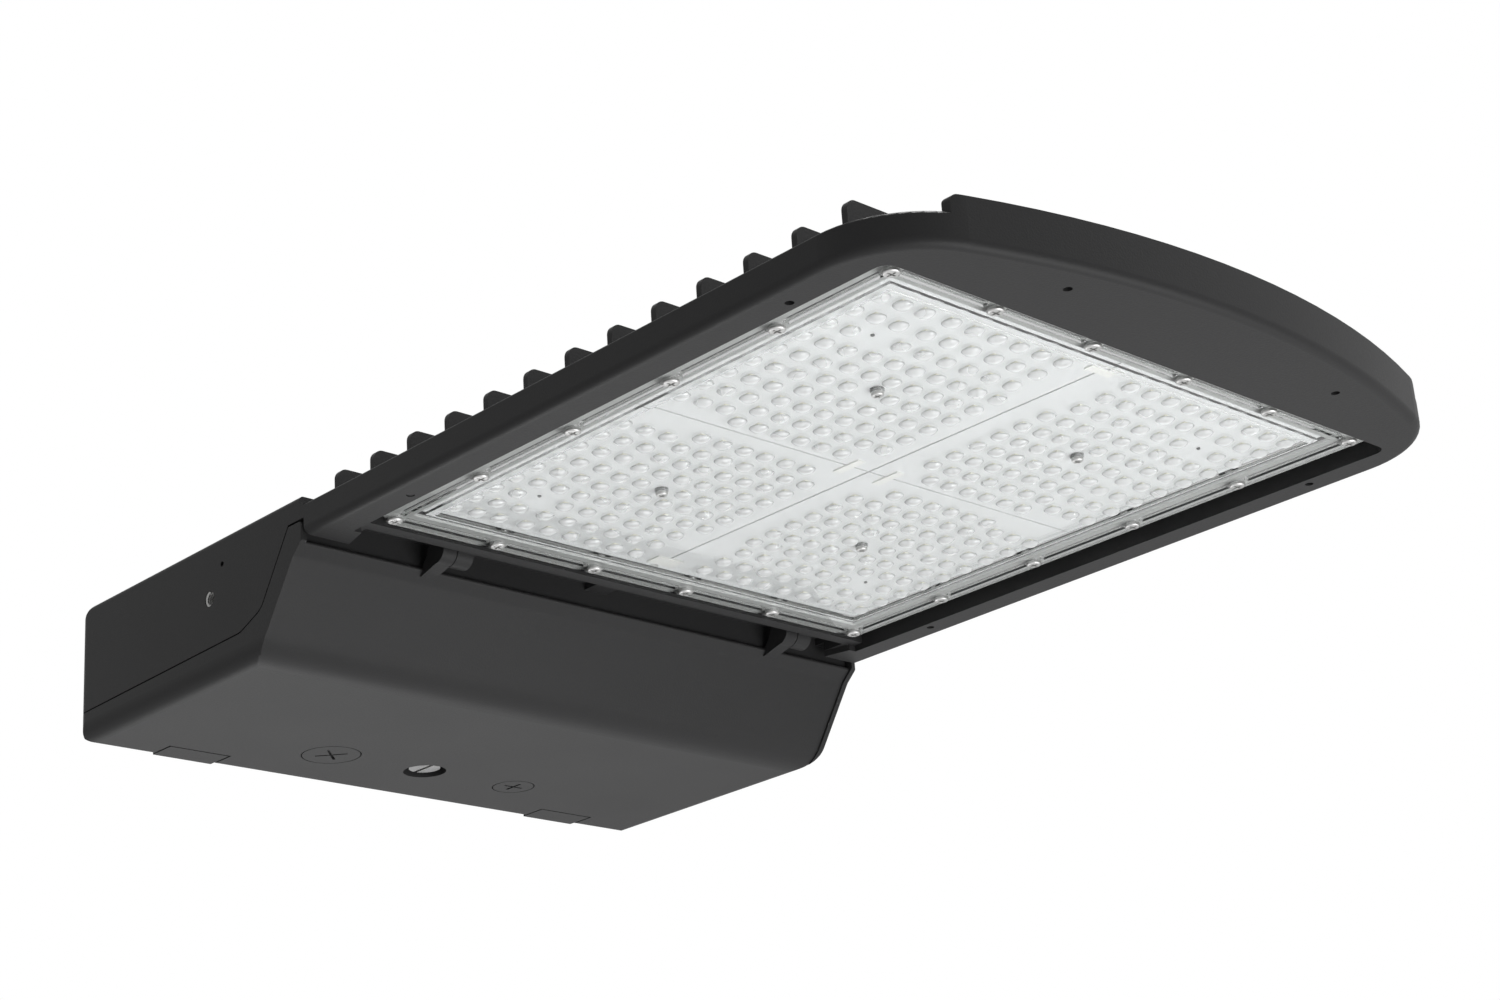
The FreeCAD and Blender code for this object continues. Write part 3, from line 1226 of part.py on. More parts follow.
def lens_gasket():
    """The flat gasket between the panel's edge and the housing, open between the screws."""
    body = new_body("panelseal")
    frame = sketch_on(body, "sealframe", "XY_Plane", "flange_z + flange_wall")
    for inset in ("0", "seal_width"):
        rectangle(frame, "-%s - flange + %s" % (HALF_X, inset), "%s + flange - %s" % (HALF_X, inset),
                  "-optic_middle - %s - flange + %s" % (HALF_Y, inset),
                  "-optic_middle + %s + flange - %s" % (HALF_Y, inset))
    for x, y in lens_screw_places():
        circle(frame, x, y, "lens_shank + screw_play")
    between_screws(frame)
    pad(body, frame, "seal_wall")
    node(body, "lens_gasket")


def led_board(label, side, end):
    """One of the four boards; side and end say which way it lies from the middle."""
    body = new_body(label)
    flat = sketch_on(body, label + "_flat", "XY_Plane", BOARD_Z)
    inner = "board_gap / 2"
    outer_x = "(%s - chamber_inset - 1)" % HALF_X
    outer_y = "(%s - chamber_inset - 1)" % HALF_Y
    us = ["%d * (%s)" % (side, inner), "%d * %s" % (side, outer_x)]
    vs = ["%d * (%s) - optic_middle" % (end, inner), "%d * %s - optic_middle" % (end, outer_y)]
    rectangle(flat, us[0], us[1], vs[0], vs[1])
    circle(flat, "%d * board_screw_x" % side, "%d * board_screw_y - optic_middle" % end,
           "board_shank + screw_play")
    pad(body, flat, "board_wall")
    if end > 0:
        passage = sketch_on(body, label + "_passage", "XY_Plane", BOARD_Z)
        circle(passage, "0", "-duct_drop", "duct - 0.4")
        pocket(body, passage, "board_wall", reverse=True)
    node(body, label)


def led_chips():
    """The light sources on the boards."""
    half = number("chip_side") / 2
    base = number(CHIP_Z)
    chips = []
    for x, y in light_places():
        corner = Vector(x - half, y - half, base)
        chips.append(Part.makeBox(2 * half, 2 * half, number("chip_height"), corner))
    group("led_chips", chips)


def board_connectors():
    """Bridges from board to board, two across and two along."""
    long = number("link_length") / 2
    short = number("link_width") / 2
    base = number("%s - link_height" % BOARD_Z)
    middle = -number("optic_middle")
    reach = number("%s - chamber_inset - 1 - link_inset" % HALF_Y) - short
    spots = [(0, reach, long, short), (0, -reach, long, short)]
    spots += [(sign * long * 1.6, 0, short / 2, long) for sign in (-1, 1)]
    shapes = [Part.makeBox(2 * u, 2 * v, number("link_height"), Vector(x - u, middle + y - v, base))
              for x, y, u, v in spots]
    group("board_connectors", shapes)


# ---------------------------------------------------------------- fasteners

def screw(head, height, shank, length, slot):
    """A pan-head screw pointing up, its seat at the origin, with a cross recess."""
    top = Part.makeCylinder(head, height, Vector(0, 0, -height))
    rims = [e for e in top.Edges if abs(e.BoundBox.ZMax + height) < 1e-3 and e.Closed]
    top = top.makeFillet(height * 0.55, rims)
    shape = top.fuse(Part.makeCylinder(shank, length)).removeSplitter()
    wide = head * 0.6
    narrow = head * 0.13
    for u, v in ((wide, narrow), (narrow, wide)):
        tool = Part.makeBox(2 * u, 2 * v, slot + 1, Vector(-u, -v, -height - 1))
        shape = shape.cut(tool)
    return shape


def screws(label, template, places, height):
    """A set of identical screws with their seats at one height."""
    copies = []
    for x, y in places:
        copy = template.copy()
        copy.translate(point(x, y, height))
        copies.append(copy)
    group(label, copies)


def panel_screws():
    recess = number("recess")
    large = screw(number("lens_head"), number("lens_head_height"), number("lens_shank"),
                  number("lens_shank_length"), recess)
    screws("lens_screws", large, lens_screw_places(), "flange_z")
    small = screw(number("board_head"), number("board_head_height"), number("board_shank"),
                  number("board_shank_length"), recess)
    screws("board_screws", small, board_screw_places(), PANE_Z)


# ---------------------------------------------------------------- compartment

DRIVER_Y = ("(-driver_front)", "(-driver_front + driver_width + driver_gap)")
SURGE_Y = "(-surge_rear - surge_width)"
TRAY_Z = "(%s - tray_wall)" % CEILING


def driver_screw_places():
    ends = ("driver_left - driver_ear / 2", "driver_left + driver_length + driver_ear / 2")
    return [(x, "%s + driver_width / 2" % y) for x in ends for y in DRIVER_Y]


def surge_screw_places():
    return [(x, "%s + surge_width / 2" % SURGE_Y)
            for x in ("surge_left - surge_ear / 2", "surge_left + surge_length + surge_ear / 2")]


def driver_tray():
    """The sheet that carries drivers and surge protector under the ceiling."""
    body = new_body("tray")
    flat = sketch_on(body, "trayflat", "XY_Plane", TRAY_Z)
    rectangle(flat, "tray_left", "tray_right", "-tray_front", "-tray_rear")
    for x, y in ceiling_screw_places():
        circle(flat, x, y, "small_screw_shank + screw_play")
    for x, y in driver_screw_places() + surge_screw_places():
        circle(flat, x, y, "small_screw_shank")
    pad(body, flat, "tray_wall")
    node(body, "driver_tray")


def boxed(label, left, length, low, width, height, ear, ear_wall, ear_half):
    """A case with rounded edges that hangs under the tray by two ears."""
    body = new_body(label)
    case = sketch_on(body, label + "_case", "XY_Plane", "%s - %s" % (TRAY_Z, height))
    rectangle(case, left, "%s + %s" % (left, length), low, "%s + %s" % (low, width))
    pad(body, case, height)
    base = "%s - %s" % (TRAY_Z, height)
    fillet(body, "tray_wall", lambda e: lies(e, z=base))
    ears = sketch_on(body, label + "_ears", "XY_Plane", "%s - %s" % (TRAY_Z, ear_wall))
    middle = "(%s + %s / 2)" % (low, width)
    for start, end in (("%s - %s" % (left, ear), left + " + 1"),
                       ("%s + %s - 1" % (left, length), "%s + %s + %s" % (left, length, ear))):
        rectangle(ears, start, end, "%s - %s" % (middle, ear_half), "%s + %s" % (middle, ear_half))
    circle(ears, "%s - %s / 2" % (left, ear), middle, "small_screw_shank + screw_play")
    circle(ears, "%s + %s + %s / 2" % (left, length, ear), middle, "small_screw_shank + screw_play")
    pad(body, ears, ear_wall)
    node(body, label)


def terminal_block():
    """The terminal block on the ceiling, its clamping screws facing the door."""
    base = "(%s - block_height)" % CEILING
    rear = "(block_width - block_front)"
    solid = block("block_case", ("block_left", "block_left + block_length"),
                  ("-block_front", rear), (base, CEILING))
    wells = []
    shapes = []
    count = round(number("block_poles"))
    for i in range(count):
        x = "block_left + block_length / 2 + (%d - (block_poles - 1) / 2) * pole_pitch" % i
        y = "(%s - block_front) / 2" % rear
        wells.append(rod("well_%d" % i, "pole_screw", "z", base + " - 1", base + " + pole_depth + 1",
                         x=x, y=y))
        head = Part.makeCylinder(number("pole_screw"), number("pole_depth"),
                                 point(x, y, base + " + 1"))
        slot = Part.makeBox(number("2 * pole_screw"), 0.8, 1.6,
                            point("%s - pole_screw" % x, "%s - 0.4" % y, base + " + 0.4"))
        shapes.append(head.cut(slot))
    node(cut("block_body", solid, wells), "terminal_block")
    group("terminal_screws", shapes)


def inner_screws():
    recess = number("recess")
    head = number("small_screw_head")
    height = number("small_screw_height")
    shank = number("small_screw_shank")
    tray = number("tray_wall")
    template = screw(head, height, shank, tray + number("ceiling_thread"), recess)
    screws("tray_screws", template, ceiling_screw_places(), TRAY_Z)
    template = screw(head, height, shank, number("driver_ear_wall + tray_wall"), recess)
    screws("driver_screws", template, driver_screw_places(), TRAY_Z + " - driver_ear_wall")
    template = screw(head, height, shank, number("surge_ear_wall + tray_wall"), recess)
    screws("surge_screws", template, surge_screw_places(), TRAY_Z + " - surge_ear_wall")
    template = screw(head, height, shank, 1 + number("ceiling_thread"), recess)
    screws("ground_screw", template, [("earth_x", "-earth_y")], CEILING + " - 1")


def lead(spots, bend=2.5):
    """A round lead along straight stretches joined by bends."""
    radius = number("lead")
    edges = []
    start = spots[0]
    for before, corner, after in zip(spots, spots[1:], spots[2:]):
        back = (before - corner).normalize()
        on = (after - corner).normalize()
        half = back.getAngle(on) / 2
        near = corner + back * (bend / math.tan(half))
        far = corner + on * (bend / math.tan(half))
        middle = corner + (back + on).normalize() * (bend / math.sin(half) - bend)
        edges += [Part.LineSegment(start, near).toShape(), Part.Arc(near, middle, far).toShape()]
        start = far
    edges.append(Part.LineSegment(start, spots[-1]).toShape())
    section = Part.Wire(Part.Circle(spots[0], spots[1] - spots[0], radius).toShape())
    return Part.Wire(edges).makePipeShell([section], True, True)


def leads():
    """Leads from block to driver and to the ground screw, and from driver to boards."""
    supply = []
    for i in (0, 1):
        x = "block_left + block_length / 2 + (%d - 1) * pole_pitch" % i
        supply.append(lead([point(x, "-block_front", "20"), point(x, "-block_front - 9", "20"),
                            point(x, "-block_front - 9", "8"),
                            point(x, "-driver_front + 2 * driver_width + driver_gap", "8")]))
    ring_z = CEILING + " - 1"
    eye = Part.makeCylinder(number("small_screw_head"), 1, point("earth_x", "-earth_y", ring_z))
    eye = eye.cut(Part.makeCylinder(number("small_screw_shank"), 1,
                                    point("earth_x", "-earth_y", ring_z)))
    run_z = CEILING + " - 1 - lead + 0.4"
    earth = lead([point("block_left + block_length", "-earth_y - 8", run_z),
                  point("earth_x - 14", "-earth_y - 8", run_z),
                  point("earth_x - 9", "-earth_y", run_z),
                  point("earth_x - small_screw_head + 0.7", "-earth_y", run_z)])
    head = Part.makeCylinder(number("small_screw_head + 0.3"), 6,
                             point("earth_x", "-earth_y", CEILING + " - 7"))
    supply.append(earth.cut(head).fuse(eye).removeSplitter())
    group("supply_leads", supply)
    output = []
    low = PANE_TOP + " + lead + 0.1"
    for side in (-1, 1):
        x = "%d * lead_pitch / 2" % side
        output.append(lead([
            point(x, "-driver_front", "14"), point(x, "-driver_front - 6", "14"),
            point(x, "-driver_front - 6", "duct_z"), point(x, "-duct_drop", "duct_z"),
            point(x, "-duct_drop", low),
            point(x, "-duct_drop - 1.5", low),
        ], 1.2))
        output.append(lead([point("60 + " + x, "-driver_front + driver_width", "10"),
                            point("60 + " + x, "-driver_front + driver_width + driver_gap", "10")]))
    group("output_leads", output)


def wire_grommet():
    """The grommet round the leads where they leave the compartment."""
    mouth = "(wall - front_wall)"
    place = {"x": "0", "z": "duct_z"}
    flange = rod("grommet_disc", "duct + grommet_flange", "y", mouth,
                 mouth + " + grommet_flange_wall", **place)
    sleeve = rod("grommet_sleeve", "duct", "y", mouth + " - grommet_length", mouth, **place)
    bore = rod("grommet_bore", "duct - grommet_wall", "y", mouth + " - grommet_length - 1",
               mouth + " + grommet_flange_wall + 1", **place)
    node(cut("grommet_body", fuse("grommet_solid", [flange, sleeve]), [bore]), "wire_grommet")


def arm_gasket():
    """The ring round the wire entry that seals against the arm."""
    place = {"x": "0", "z": "0"}
    ring = rod("arm_ring", "arm_seal_outer", "y", "-arm_seal_wall", "0", **place)
    eye = rod("arm_eye", "arm_seal_inner", "y", "-arm_seal_wall - 1", "1", **place)
    node(cut("arm_washer", ring, [eye]), "arm_gasket")


head_housing()
hinge_pins()
driver_door()
door_gasket()
plug("large_plug", "-plug_x", "large", 45)
plug("small_plug", "plug_x", "small", 0)
door_screw()
lens_cover()
lens_gasket()
for name, side, end in (("led_board_rear_left", -1, 1), ("led_board_rear_right", 1, 1),
                        ("led_board_front_left", -1, -1), ("led_board_front_right", 1, -1)):
    led_board(name, side, end)
led_chips()
board_connectors()
panel_screws()
driver_tray()
for name, low in (("driver_front_unit", DRIVER_Y[0]), ("driver_rear_unit", DRIVER_Y[1])):
    boxed(name, "driver_left", "driver_length", low, "driver_width", "driver_height",
          "driver_ear", "driver_ear_wall", "driver_ear_half")
boxed("surge_protector", "surge_left", "surge_length", SURGE_Y, "surge_width", "surge_height",
      "surge_ear", "surge_ear_wall", "surge_ear_half")
terminal_block()
inner_screws()
leads()
wire_grommet()
arm_gasket()

# ---------------------------------------------------------------- check and write

doc.recompute()
for thing in doc.Objects:
    if "Invalid" in thing.State or "Error" in thing.State:
        raise RuntimeError("%s: %s" % (thing.Label, thing.State))
os.makedirs("parts", exist_ok=True)
for thing in nodes:
    shape = thing.Shape
    if shape.isNull() or not shape.isValid() or not shape.Solids:
        raise RuntimeError("%s is not a sound solid" % thing.Label)
    shape.exportStep("parts/%s.step" % thing.Label)
    print("%-22s %3d solids %12.1f mm3" % (thing.Label, len(shape.Solids), shape.Volume))
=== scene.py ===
import bpy
import bmesh
import json
import math
from bpy.props import FloatProperty, FloatVectorProperty, IntProperty, PointerProperty
from mathutils import Euler, Matrix, Vector


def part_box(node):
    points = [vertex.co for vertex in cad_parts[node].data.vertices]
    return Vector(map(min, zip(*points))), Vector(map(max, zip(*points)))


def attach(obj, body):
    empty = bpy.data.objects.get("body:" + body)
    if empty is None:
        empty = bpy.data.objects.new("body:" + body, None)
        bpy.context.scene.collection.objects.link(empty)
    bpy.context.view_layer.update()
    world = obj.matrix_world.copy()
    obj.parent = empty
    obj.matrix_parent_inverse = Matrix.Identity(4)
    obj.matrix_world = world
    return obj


bl_info = {
    "name": "Area light dresser",
    "version": (1, 0, 0),
    "blender": (4, 5, 0),
    "location": "View3D > Sidebar > Area light",
    "description": "Finishes and fine pieces for a shoebox area light",
    "category": "Object",
}

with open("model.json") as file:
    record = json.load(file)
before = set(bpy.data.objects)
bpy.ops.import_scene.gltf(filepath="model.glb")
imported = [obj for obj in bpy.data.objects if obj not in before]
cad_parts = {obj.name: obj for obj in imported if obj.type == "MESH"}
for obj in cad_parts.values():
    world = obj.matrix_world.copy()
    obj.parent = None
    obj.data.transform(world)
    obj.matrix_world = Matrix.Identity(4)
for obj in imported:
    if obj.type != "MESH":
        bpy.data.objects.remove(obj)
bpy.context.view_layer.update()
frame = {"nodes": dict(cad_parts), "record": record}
NODES = frame["nodes"]

COVER_LOW, COVER_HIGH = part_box("lens_cover")
HOUSING_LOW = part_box("head_housing")[0]


# ---------------------------------------------------------------- settings

class AreaLightSettings(bpy.types.PropertyGroup):
    """Sizes and colours a user may change."""
    coat_colour: FloatVectorProperty(
        name="Coat colour", description="Powder coat on the castings", subtype="COLOR",
        size=3, min=0, max=1, default=(0.031, 0.031, 0.0316))
    coat_grain: FloatProperty(
        name="Coat grain", description="Size of the powder coat's texture", unit="LENGTH",
        default=0.0009, min=0.0001, max=0.01)
    steel_colour: FloatVectorProperty(
        name="Screw colour", description="Stainless screws", subtype="COLOR",
        size=3, min=0, max=1, default=(0.5, 0.5, 0.49))
    board_colour: FloatVectorProperty(
        name="Board colour", description="White mask of the boards", subtype="COLOR",
        size=3, min=0, max=1, default=(0.7, 0.71, 0.71))
    dome_radius: FloatProperty(
        name="Dome radius", description="Radius of a dome where it meets the panel",
        unit="LENGTH", default=0.0044, min=0.002, max=0.006)
    dome_height: FloatProperty(
        name="Dome height", description="How far a dome stands below the panel",
        unit="LENGTH", default=0.0021, min=0.0005, max=0.0023)
    pane_height: FloatProperty(
        name="Panel face", description="Height of the panel's sunk lower face",
        unit="LENGTH", default=0.0203, min=0.018, max=0.022)
    thread_pitch: FloatProperty(
        name="Thread pitch", description="Pitch of the thread in the side holes",
        unit="LENGTH", default=0.00125, min=0.0005, max=0.002)
    thread_turns: IntProperty(
        name="Thread turns", description="Turns of thread in a side hole", default=7, min=1, max=8)
    floor_drop: FloatProperty(
        name="Floor", description="How far the floor is below the light", unit="LENGTH",
        default=1.1, min=0.2, max=5)
    key_power: FloatProperty(
        name="Main lamp", description="Power of the lamp below the nose", unit="POWER",
        default=15.5, min=0, max=500)


def settings():
    return bpy.context.scene.area_light


# ---------------------------------------------------------------- finishes

def new_tree(name):
    """An empty material's tree with its output and main shader."""
    material = bpy.data.materials.new(name)
    material.use_nodes = True
    tree = material.node_tree
    tree.nodes.clear()
    output = tree.nodes.new("ShaderNodeOutputMaterial")
    shader = tree.nodes.new("ShaderNodeBsdfPrincipled")
    tree.links.new(shader.outputs[0], output.inputs[0])
    return material, tree, shader


def add_group(tree, group, **values):
    node = tree.nodes.new("ShaderNodeGroup")
    node.node_tree = group
    for name, value in values.items():
        node.inputs[name.replace("_", " ")].default_value = value
    return node


def group_shell(name, inputs, outputs):
    """A shader group with its named sockets."""
    tree = bpy.data.node_groups.new(name, "ShaderNodeTree")
    for label, kind, value in inputs:
        socket = tree.interface.new_socket(label, in_out="INPUT", socket_type=kind)
        socket.default_value = value
    for label, kind in outputs:
        tree.interface.new_socket(label, in_out="OUTPUT", socket_type=kind)
    return tree, tree.nodes.new("NodeGroupInput"), tree.nodes.new("NodeGroupOutput")


def math_node(tree, operation, first, second):
    node = tree.nodes.new("ShaderNodeMath")
    node.operation = operation
    for index, value in enumerate((first, second)):
        if hasattr(value, "node"):
            tree.links.new(value, node.inputs[index])
        else:
            node.inputs[index].default_value = value
    return node.outputs[0]


def noise(tree, scale, detail=2.0, stretch=None):
    """Noise over the object's own coordinates; scale may be a socket."""
    place = tree.nodes.new("ShaderNodeTexCoord").outputs["Object"]
    if stretch:
        mapping = tree.nodes.new("ShaderNodeMapping")
        mapping.inputs["Scale"].default_value = stretch
        tree.links.new(place, mapping.inputs[0])
        place = mapping.outputs[0]
    node = tree.nodes.new("ShaderNodeTexNoise")
    node.inputs["Detail"].default_value = detail
    tree.links.new(place, node.inputs["Vector"])
    if hasattr(scale, "node"):
        tree.links.new(scale, node.inputs["Scale"])
    else:
        node.inputs["Scale"].default_value = scale
    return node.outputs["Fac"]


def seen_rays(tree, glossy):
    """1 for rays of the camera and through clear plastic, and a share for reflections."""
    path = tree.nodes.new("ShaderNodeLightPath")
    direct = math_node(tree, "MAXIMUM", path.outputs["Is Camera Ray"],
                       path.outputs["Is Transmission Ray"])
    glint = math_node(tree, "MULTIPLY", path.outputs["Is Glossy Ray"], glossy)
    return math_node(tree, "MAXIMUM", direct, glint)


def mixed(tree, share, low, high):
    """A colour between two others."""
    node = tree.nodes.new("ShaderNodeMix")
    node.data_type = "RGBA"
    for socket, value in ((node.inputs[0], share), (node.inputs[6], low), (node.inputs[7], high)):
        if hasattr(value, "node"):
            tree.links.new(value, socket)
        else:
            socket.default_value = value
    return node.outputs[2]


def spread(tree, value, low, high):
    """Maps 0.3 to 0.7 of a noise to a range."""
    node = tree.nodes.new("ShaderNodeMapRange")
    node.inputs["From Min"].default_value = 0.3
    node.inputs["From Max"].default_value = 0.7
    tree.links.new(value, node.inputs["Value"])
    for name, bound in (("To Min", low), ("To Max", high)):
        if hasattr(bound, "node"):
            tree.links.new(bound, node.inputs[name])
        else:
            node.inputs[name].default_value = bound
    return node.outputs[0]


def grain_group():
    """Fine texture with soft blotches: tint, roughness and height."""
    tree, start, end = group_shell(
        "Surface grain",
        [("Colour", "NodeSocketColor", (0.5, 0.5, 0.5, 1)), ("Fineness", "NodeSocketFloat", 1000.0),
         ("Blotches", "NodeSocketFloat", 30.0), ("Contrast", "NodeSocketFloat", 0.1),
         ("Roughness", "NodeSocketFloat", 0.5), ("Roughness spread", "NodeSocketFloat", 0.08)],
        [("Colour", "NodeSocketColor"), ("Roughness", "NodeSocketFloat"), ("Height", "NodeSocketFloat")])
    fine = noise(tree, start.outputs["Fineness"], 3.0)
    broad = noise(tree, start.outputs["Blotches"], 3.0)
    both = math_node(tree, "ADD", math_node(tree, "MULTIPLY", fine, 0.5),
                     math_node(tree, "MULTIPLY", broad, 0.5))
    low = math_node(tree, "SUBTRACT", 1.0, start.outputs["Contrast"])
    high = math_node(tree, "ADD", 1.0, start.outputs["Contrast"])
    factor = spread(tree, both, low, high)
    scaled = tree.nodes.new("ShaderNodeVectorMath")
    scaled.operation = "SCALE"
    tree.links.new(start.outputs["Colour"], scaled.inputs[0])
    tree.links.new(factor, scaled.inputs["Scale"])
    tree.links.new(scaled.outputs[0], end.inputs["Colour"])
    rough_low = math_node(tree, "SUBTRACT", start.outputs["Roughness"], start.outputs["Roughness spread"])
    rough_high = math_node(tree, "ADD", start.outputs["Roughness"], start.outputs["Roughness spread"])
    tree.links.new(spread(tree, both, rough_low, rough_high), end.inputs["Roughness"])
    tree.links.new(fine, end.inputs["Height"])
    return tree


def grained(name, group, colour, roughness, fineness, blotches, contrast, depth, metallic=0.0,
            specular=0.5, rough_spread=0.06):
    """A material whose colour, roughness and relief come from the grain group."""
    material, tree, shader = new_tree(name)
    grain = add_group(tree, group, Colour=(*colour, 1), Fineness=fineness, Blotches=blotches,
                      Contrast=contrast, Roughness=roughness, Roughness_spread=rough_spread)
    tree.links.new(grain.outputs["Colour"], shader.inputs["Base Color"])
    tree.links.new(grain.outputs["Roughness"], shader.inputs["Roughness"])
    bump = tree.nodes.new("ShaderNodeBump")
    bump.inputs["Strength"].default_value = 0.6
    bump.inputs["Distance"].default_value = depth
    tree.links.new(grain.outputs["Height"], bump.inputs["Height"])
    tree.links.new(bump.outputs[0], shader.inputs["Normal"])
    shader.inputs["Metallic"].default_value = metallic
    shader.inputs["Specular IOR Level"].default_value = specular
    return material


def clear_plastic(name, roughness, ior, ripple, clearness):
    """Clear moulded plastic with a faint flow pattern; its shadow lets the light through."""
    material, tree, shader = new_tree(name)
    see_through = tree.nodes.new("ShaderNodeBsdfTransparent")
    see_through.inputs[0].default_value = (0.93, 0.93, 0.93, 1)
    path = tree.nodes.new("ShaderNodeLightPath")
    blend = tree.nodes.new("ShaderNodeMixShader")
    tree.links.new(path.outputs["Is Shadow Ray"], blend.inputs[0])
    tree.links.new(shader.outputs[0], blend.inputs[1])
    tree.links.new(see_through.outputs[0], blend.inputs[2])
    output = next(n for n in tree.nodes if n.bl_idname == "ShaderNodeOutputMaterial")
    tree.links.new(blend.outputs[0], output.inputs[0])
    shader.inputs["Base Color"].default_value = (0.97, 0.98, 0.98, 1)
    shader.inputs["Transmission Weight"].default_value = clearness
    shader.inputs["IOR"].default_value = ior
    tree.links.new(spread(tree, noise(tree, 60.0), roughness * 0.5, roughness * 1.5),
                   shader.inputs["Roughness"])
    bump = tree.nodes.new("ShaderNodeBump")
    bump.inputs["Strength"].default_value = ripple
    bump.inputs["Distance"].default_value = 0.0003
    tree.links.new(noise(tree, 60.0), bump.inputs["Height"])
    tree.links.new(bump.outputs[0], shader.inputs["Normal"])
    return material


def dress(material, *names):
    """Gives CAD nodes their finish."""
    for name in names:
        mesh = NODES[name].data
        mesh.materials.clear()
        mesh.materials.append(material)


def finished(name, make):
    """A material made once and shared."""
    return bpy.data.materials.get(name) or make()


def shared_grain():
    return bpy.data.node_groups.get("Surface grain") or grain_group()


def coat_finish():
    chosen = settings()
    return finished("powder_coat", lambda: grained(
        "powder_coat", shared_grain(), chosen.coat_colour, 0.45, 1 / chosen.coat_grain, 9.0, 0.07,
        0.00012, specular=0.17))


def steel_finish():
    chosen = settings()
    return finished("stainless", lambda: grained(
        "stainless", shared_grain(), chosen.steel_colour, 0.26, 2500.0, 90.0, 0.12, 0.00003,
        metallic=1.0))


def zinc_finish():
    return finished("zinc_plate", lambda: grained(
        "zinc_plate", shared_grain(), (0.33, 0.33, 0.33), 0.42, 1800.0, 120.0, 0.12, 0.00003,
        metallic=0.7))


def bare_metal_finish():
    return finished("bare_casting", lambda: grained(
        "bare_casting", shared_grain(), (0.72, 0.72, 0.71), 0.4, 2000.0, 120.0, 0.12, 0.00004,
        metallic=0.35))


def clear_finish():
    return finished("clear_panel", lambda: clear_plastic("clear_panel", 0.04, 1.42, 0.05, 1.0))


def dome_finish():
    return finished("dome_optic", lambda: clear_plastic("dome_optic", 0.22, 1.2, 0.02, 0.6))


# ---------------------------------------------------------------- meshes

def piece(name, mesh, material, body, smooth=True):
    """A new piece that rides on a body."""
    thing = bpy.data.objects.new(name, mesh)
    bpy.context.scene.collection.objects.link(thing)
    mesh.materials.append(material)
    if smooth:
        mesh.shade_smooth()
    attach(thing, body)
    return thing


def revolved(bm, centre, profile, steps, turn=None):
    """Turns a profile of (radius, height) about an axis; radius 0 closes it at the axis."""
    rings = []
    turn = turn or Matrix.Identity(3)
    for radius, height in profile:
        if radius == 0:
            rings.append([bm.verts.new(centre + turn @ Vector((0, 0, height)))])
            continue
        rings.append([bm.verts.new(centre + turn @ Vector((
            radius * math.cos(2 * math.pi * i / steps), radius * math.sin(2 * math.pi * i / steps),
            height))) for i in range(steps)])
    for low, high in zip(rings, rings[1:]):
        for i in range(steps):
            j = (i + 1) % steps
            corners = [low[i % len(low)], low[j % len(low)], high[j % len(high)], high[i % len(high)]]
            corners = list(dict.fromkeys(corners))
            if len(corners) > 2:
                bm.faces.new(corners)


def mesh_from(name, bm):
    bmesh.ops.recalc_face_normals(bm, faces=bm.faces)
    mesh = bpy.data.meshes.new(name)
    bm.to_mesh(mesh)
    bm.free()
    return mesh


def chip_places():
    """Centres of the light sources, from the lower faces of the CAD node."""
    spots = []
    downward = -0.9
    chip_reach = 0.004
    for face in NODES["led_chips"].data.polygons:
        if face.normal.z > downward:
            continue
        for spot in spots:
            if (spot[0] / spot[1] - face.center).length < chip_reach:
                spot[0] += face.center
                spot[1] += 1
                break
        else:
            spots.append([face.center.copy(), 1])
    return [total / count for total, count in spots]


# ---------------------------------------------------------------- operators

class AREALIGHT_OT_castings(bpy.types.Operator):
    """Powder coat on the housing, the door and the plugs"""
    bl_idname = "area_light.castings"
    bl_label = "Castings"

    def execute(self, context):
        dress(coat_finish(), "head_housing", "driver_door", "large_plug", "small_plug")
        return {"FINISHED"}


class AREALIGHT_OT_panel(bpy.types.Operator):
    """Clear panel with a dome under every light source"""
    bl_idname = "area_light.panel"
    bl_label = "Clear panel"

    def execute(self, context):
        chosen = settings()
        dress(clear_finish(), "lens_cover")
        radius = chosen.dome_radius
        height = chosen.dome_height
        ball = (radius ** 2 + height ** 2) / (2 * height)
        span = math.asin(radius / ball)
        root = 0.0002
        rings = 6
        profile = [(0, root), (radius * 0.5, root), (radius, root)]
        for i in range(rings):
            angle = span * (1 - i / rings)
            profile.append((ball * math.sin(angle), ball - height - ball * math.cos(angle)))
        profile.append((0, -height))
        bm = bmesh.new()
        for spot in chip_places():
            revolved(bm, Vector((spot.x, spot.y, chosen.pane_height)), profile, 20)
        piece("panel_domes", mesh_from("panel_domes", bm), dome_finish(), "head")
        return {"FINISHED"}


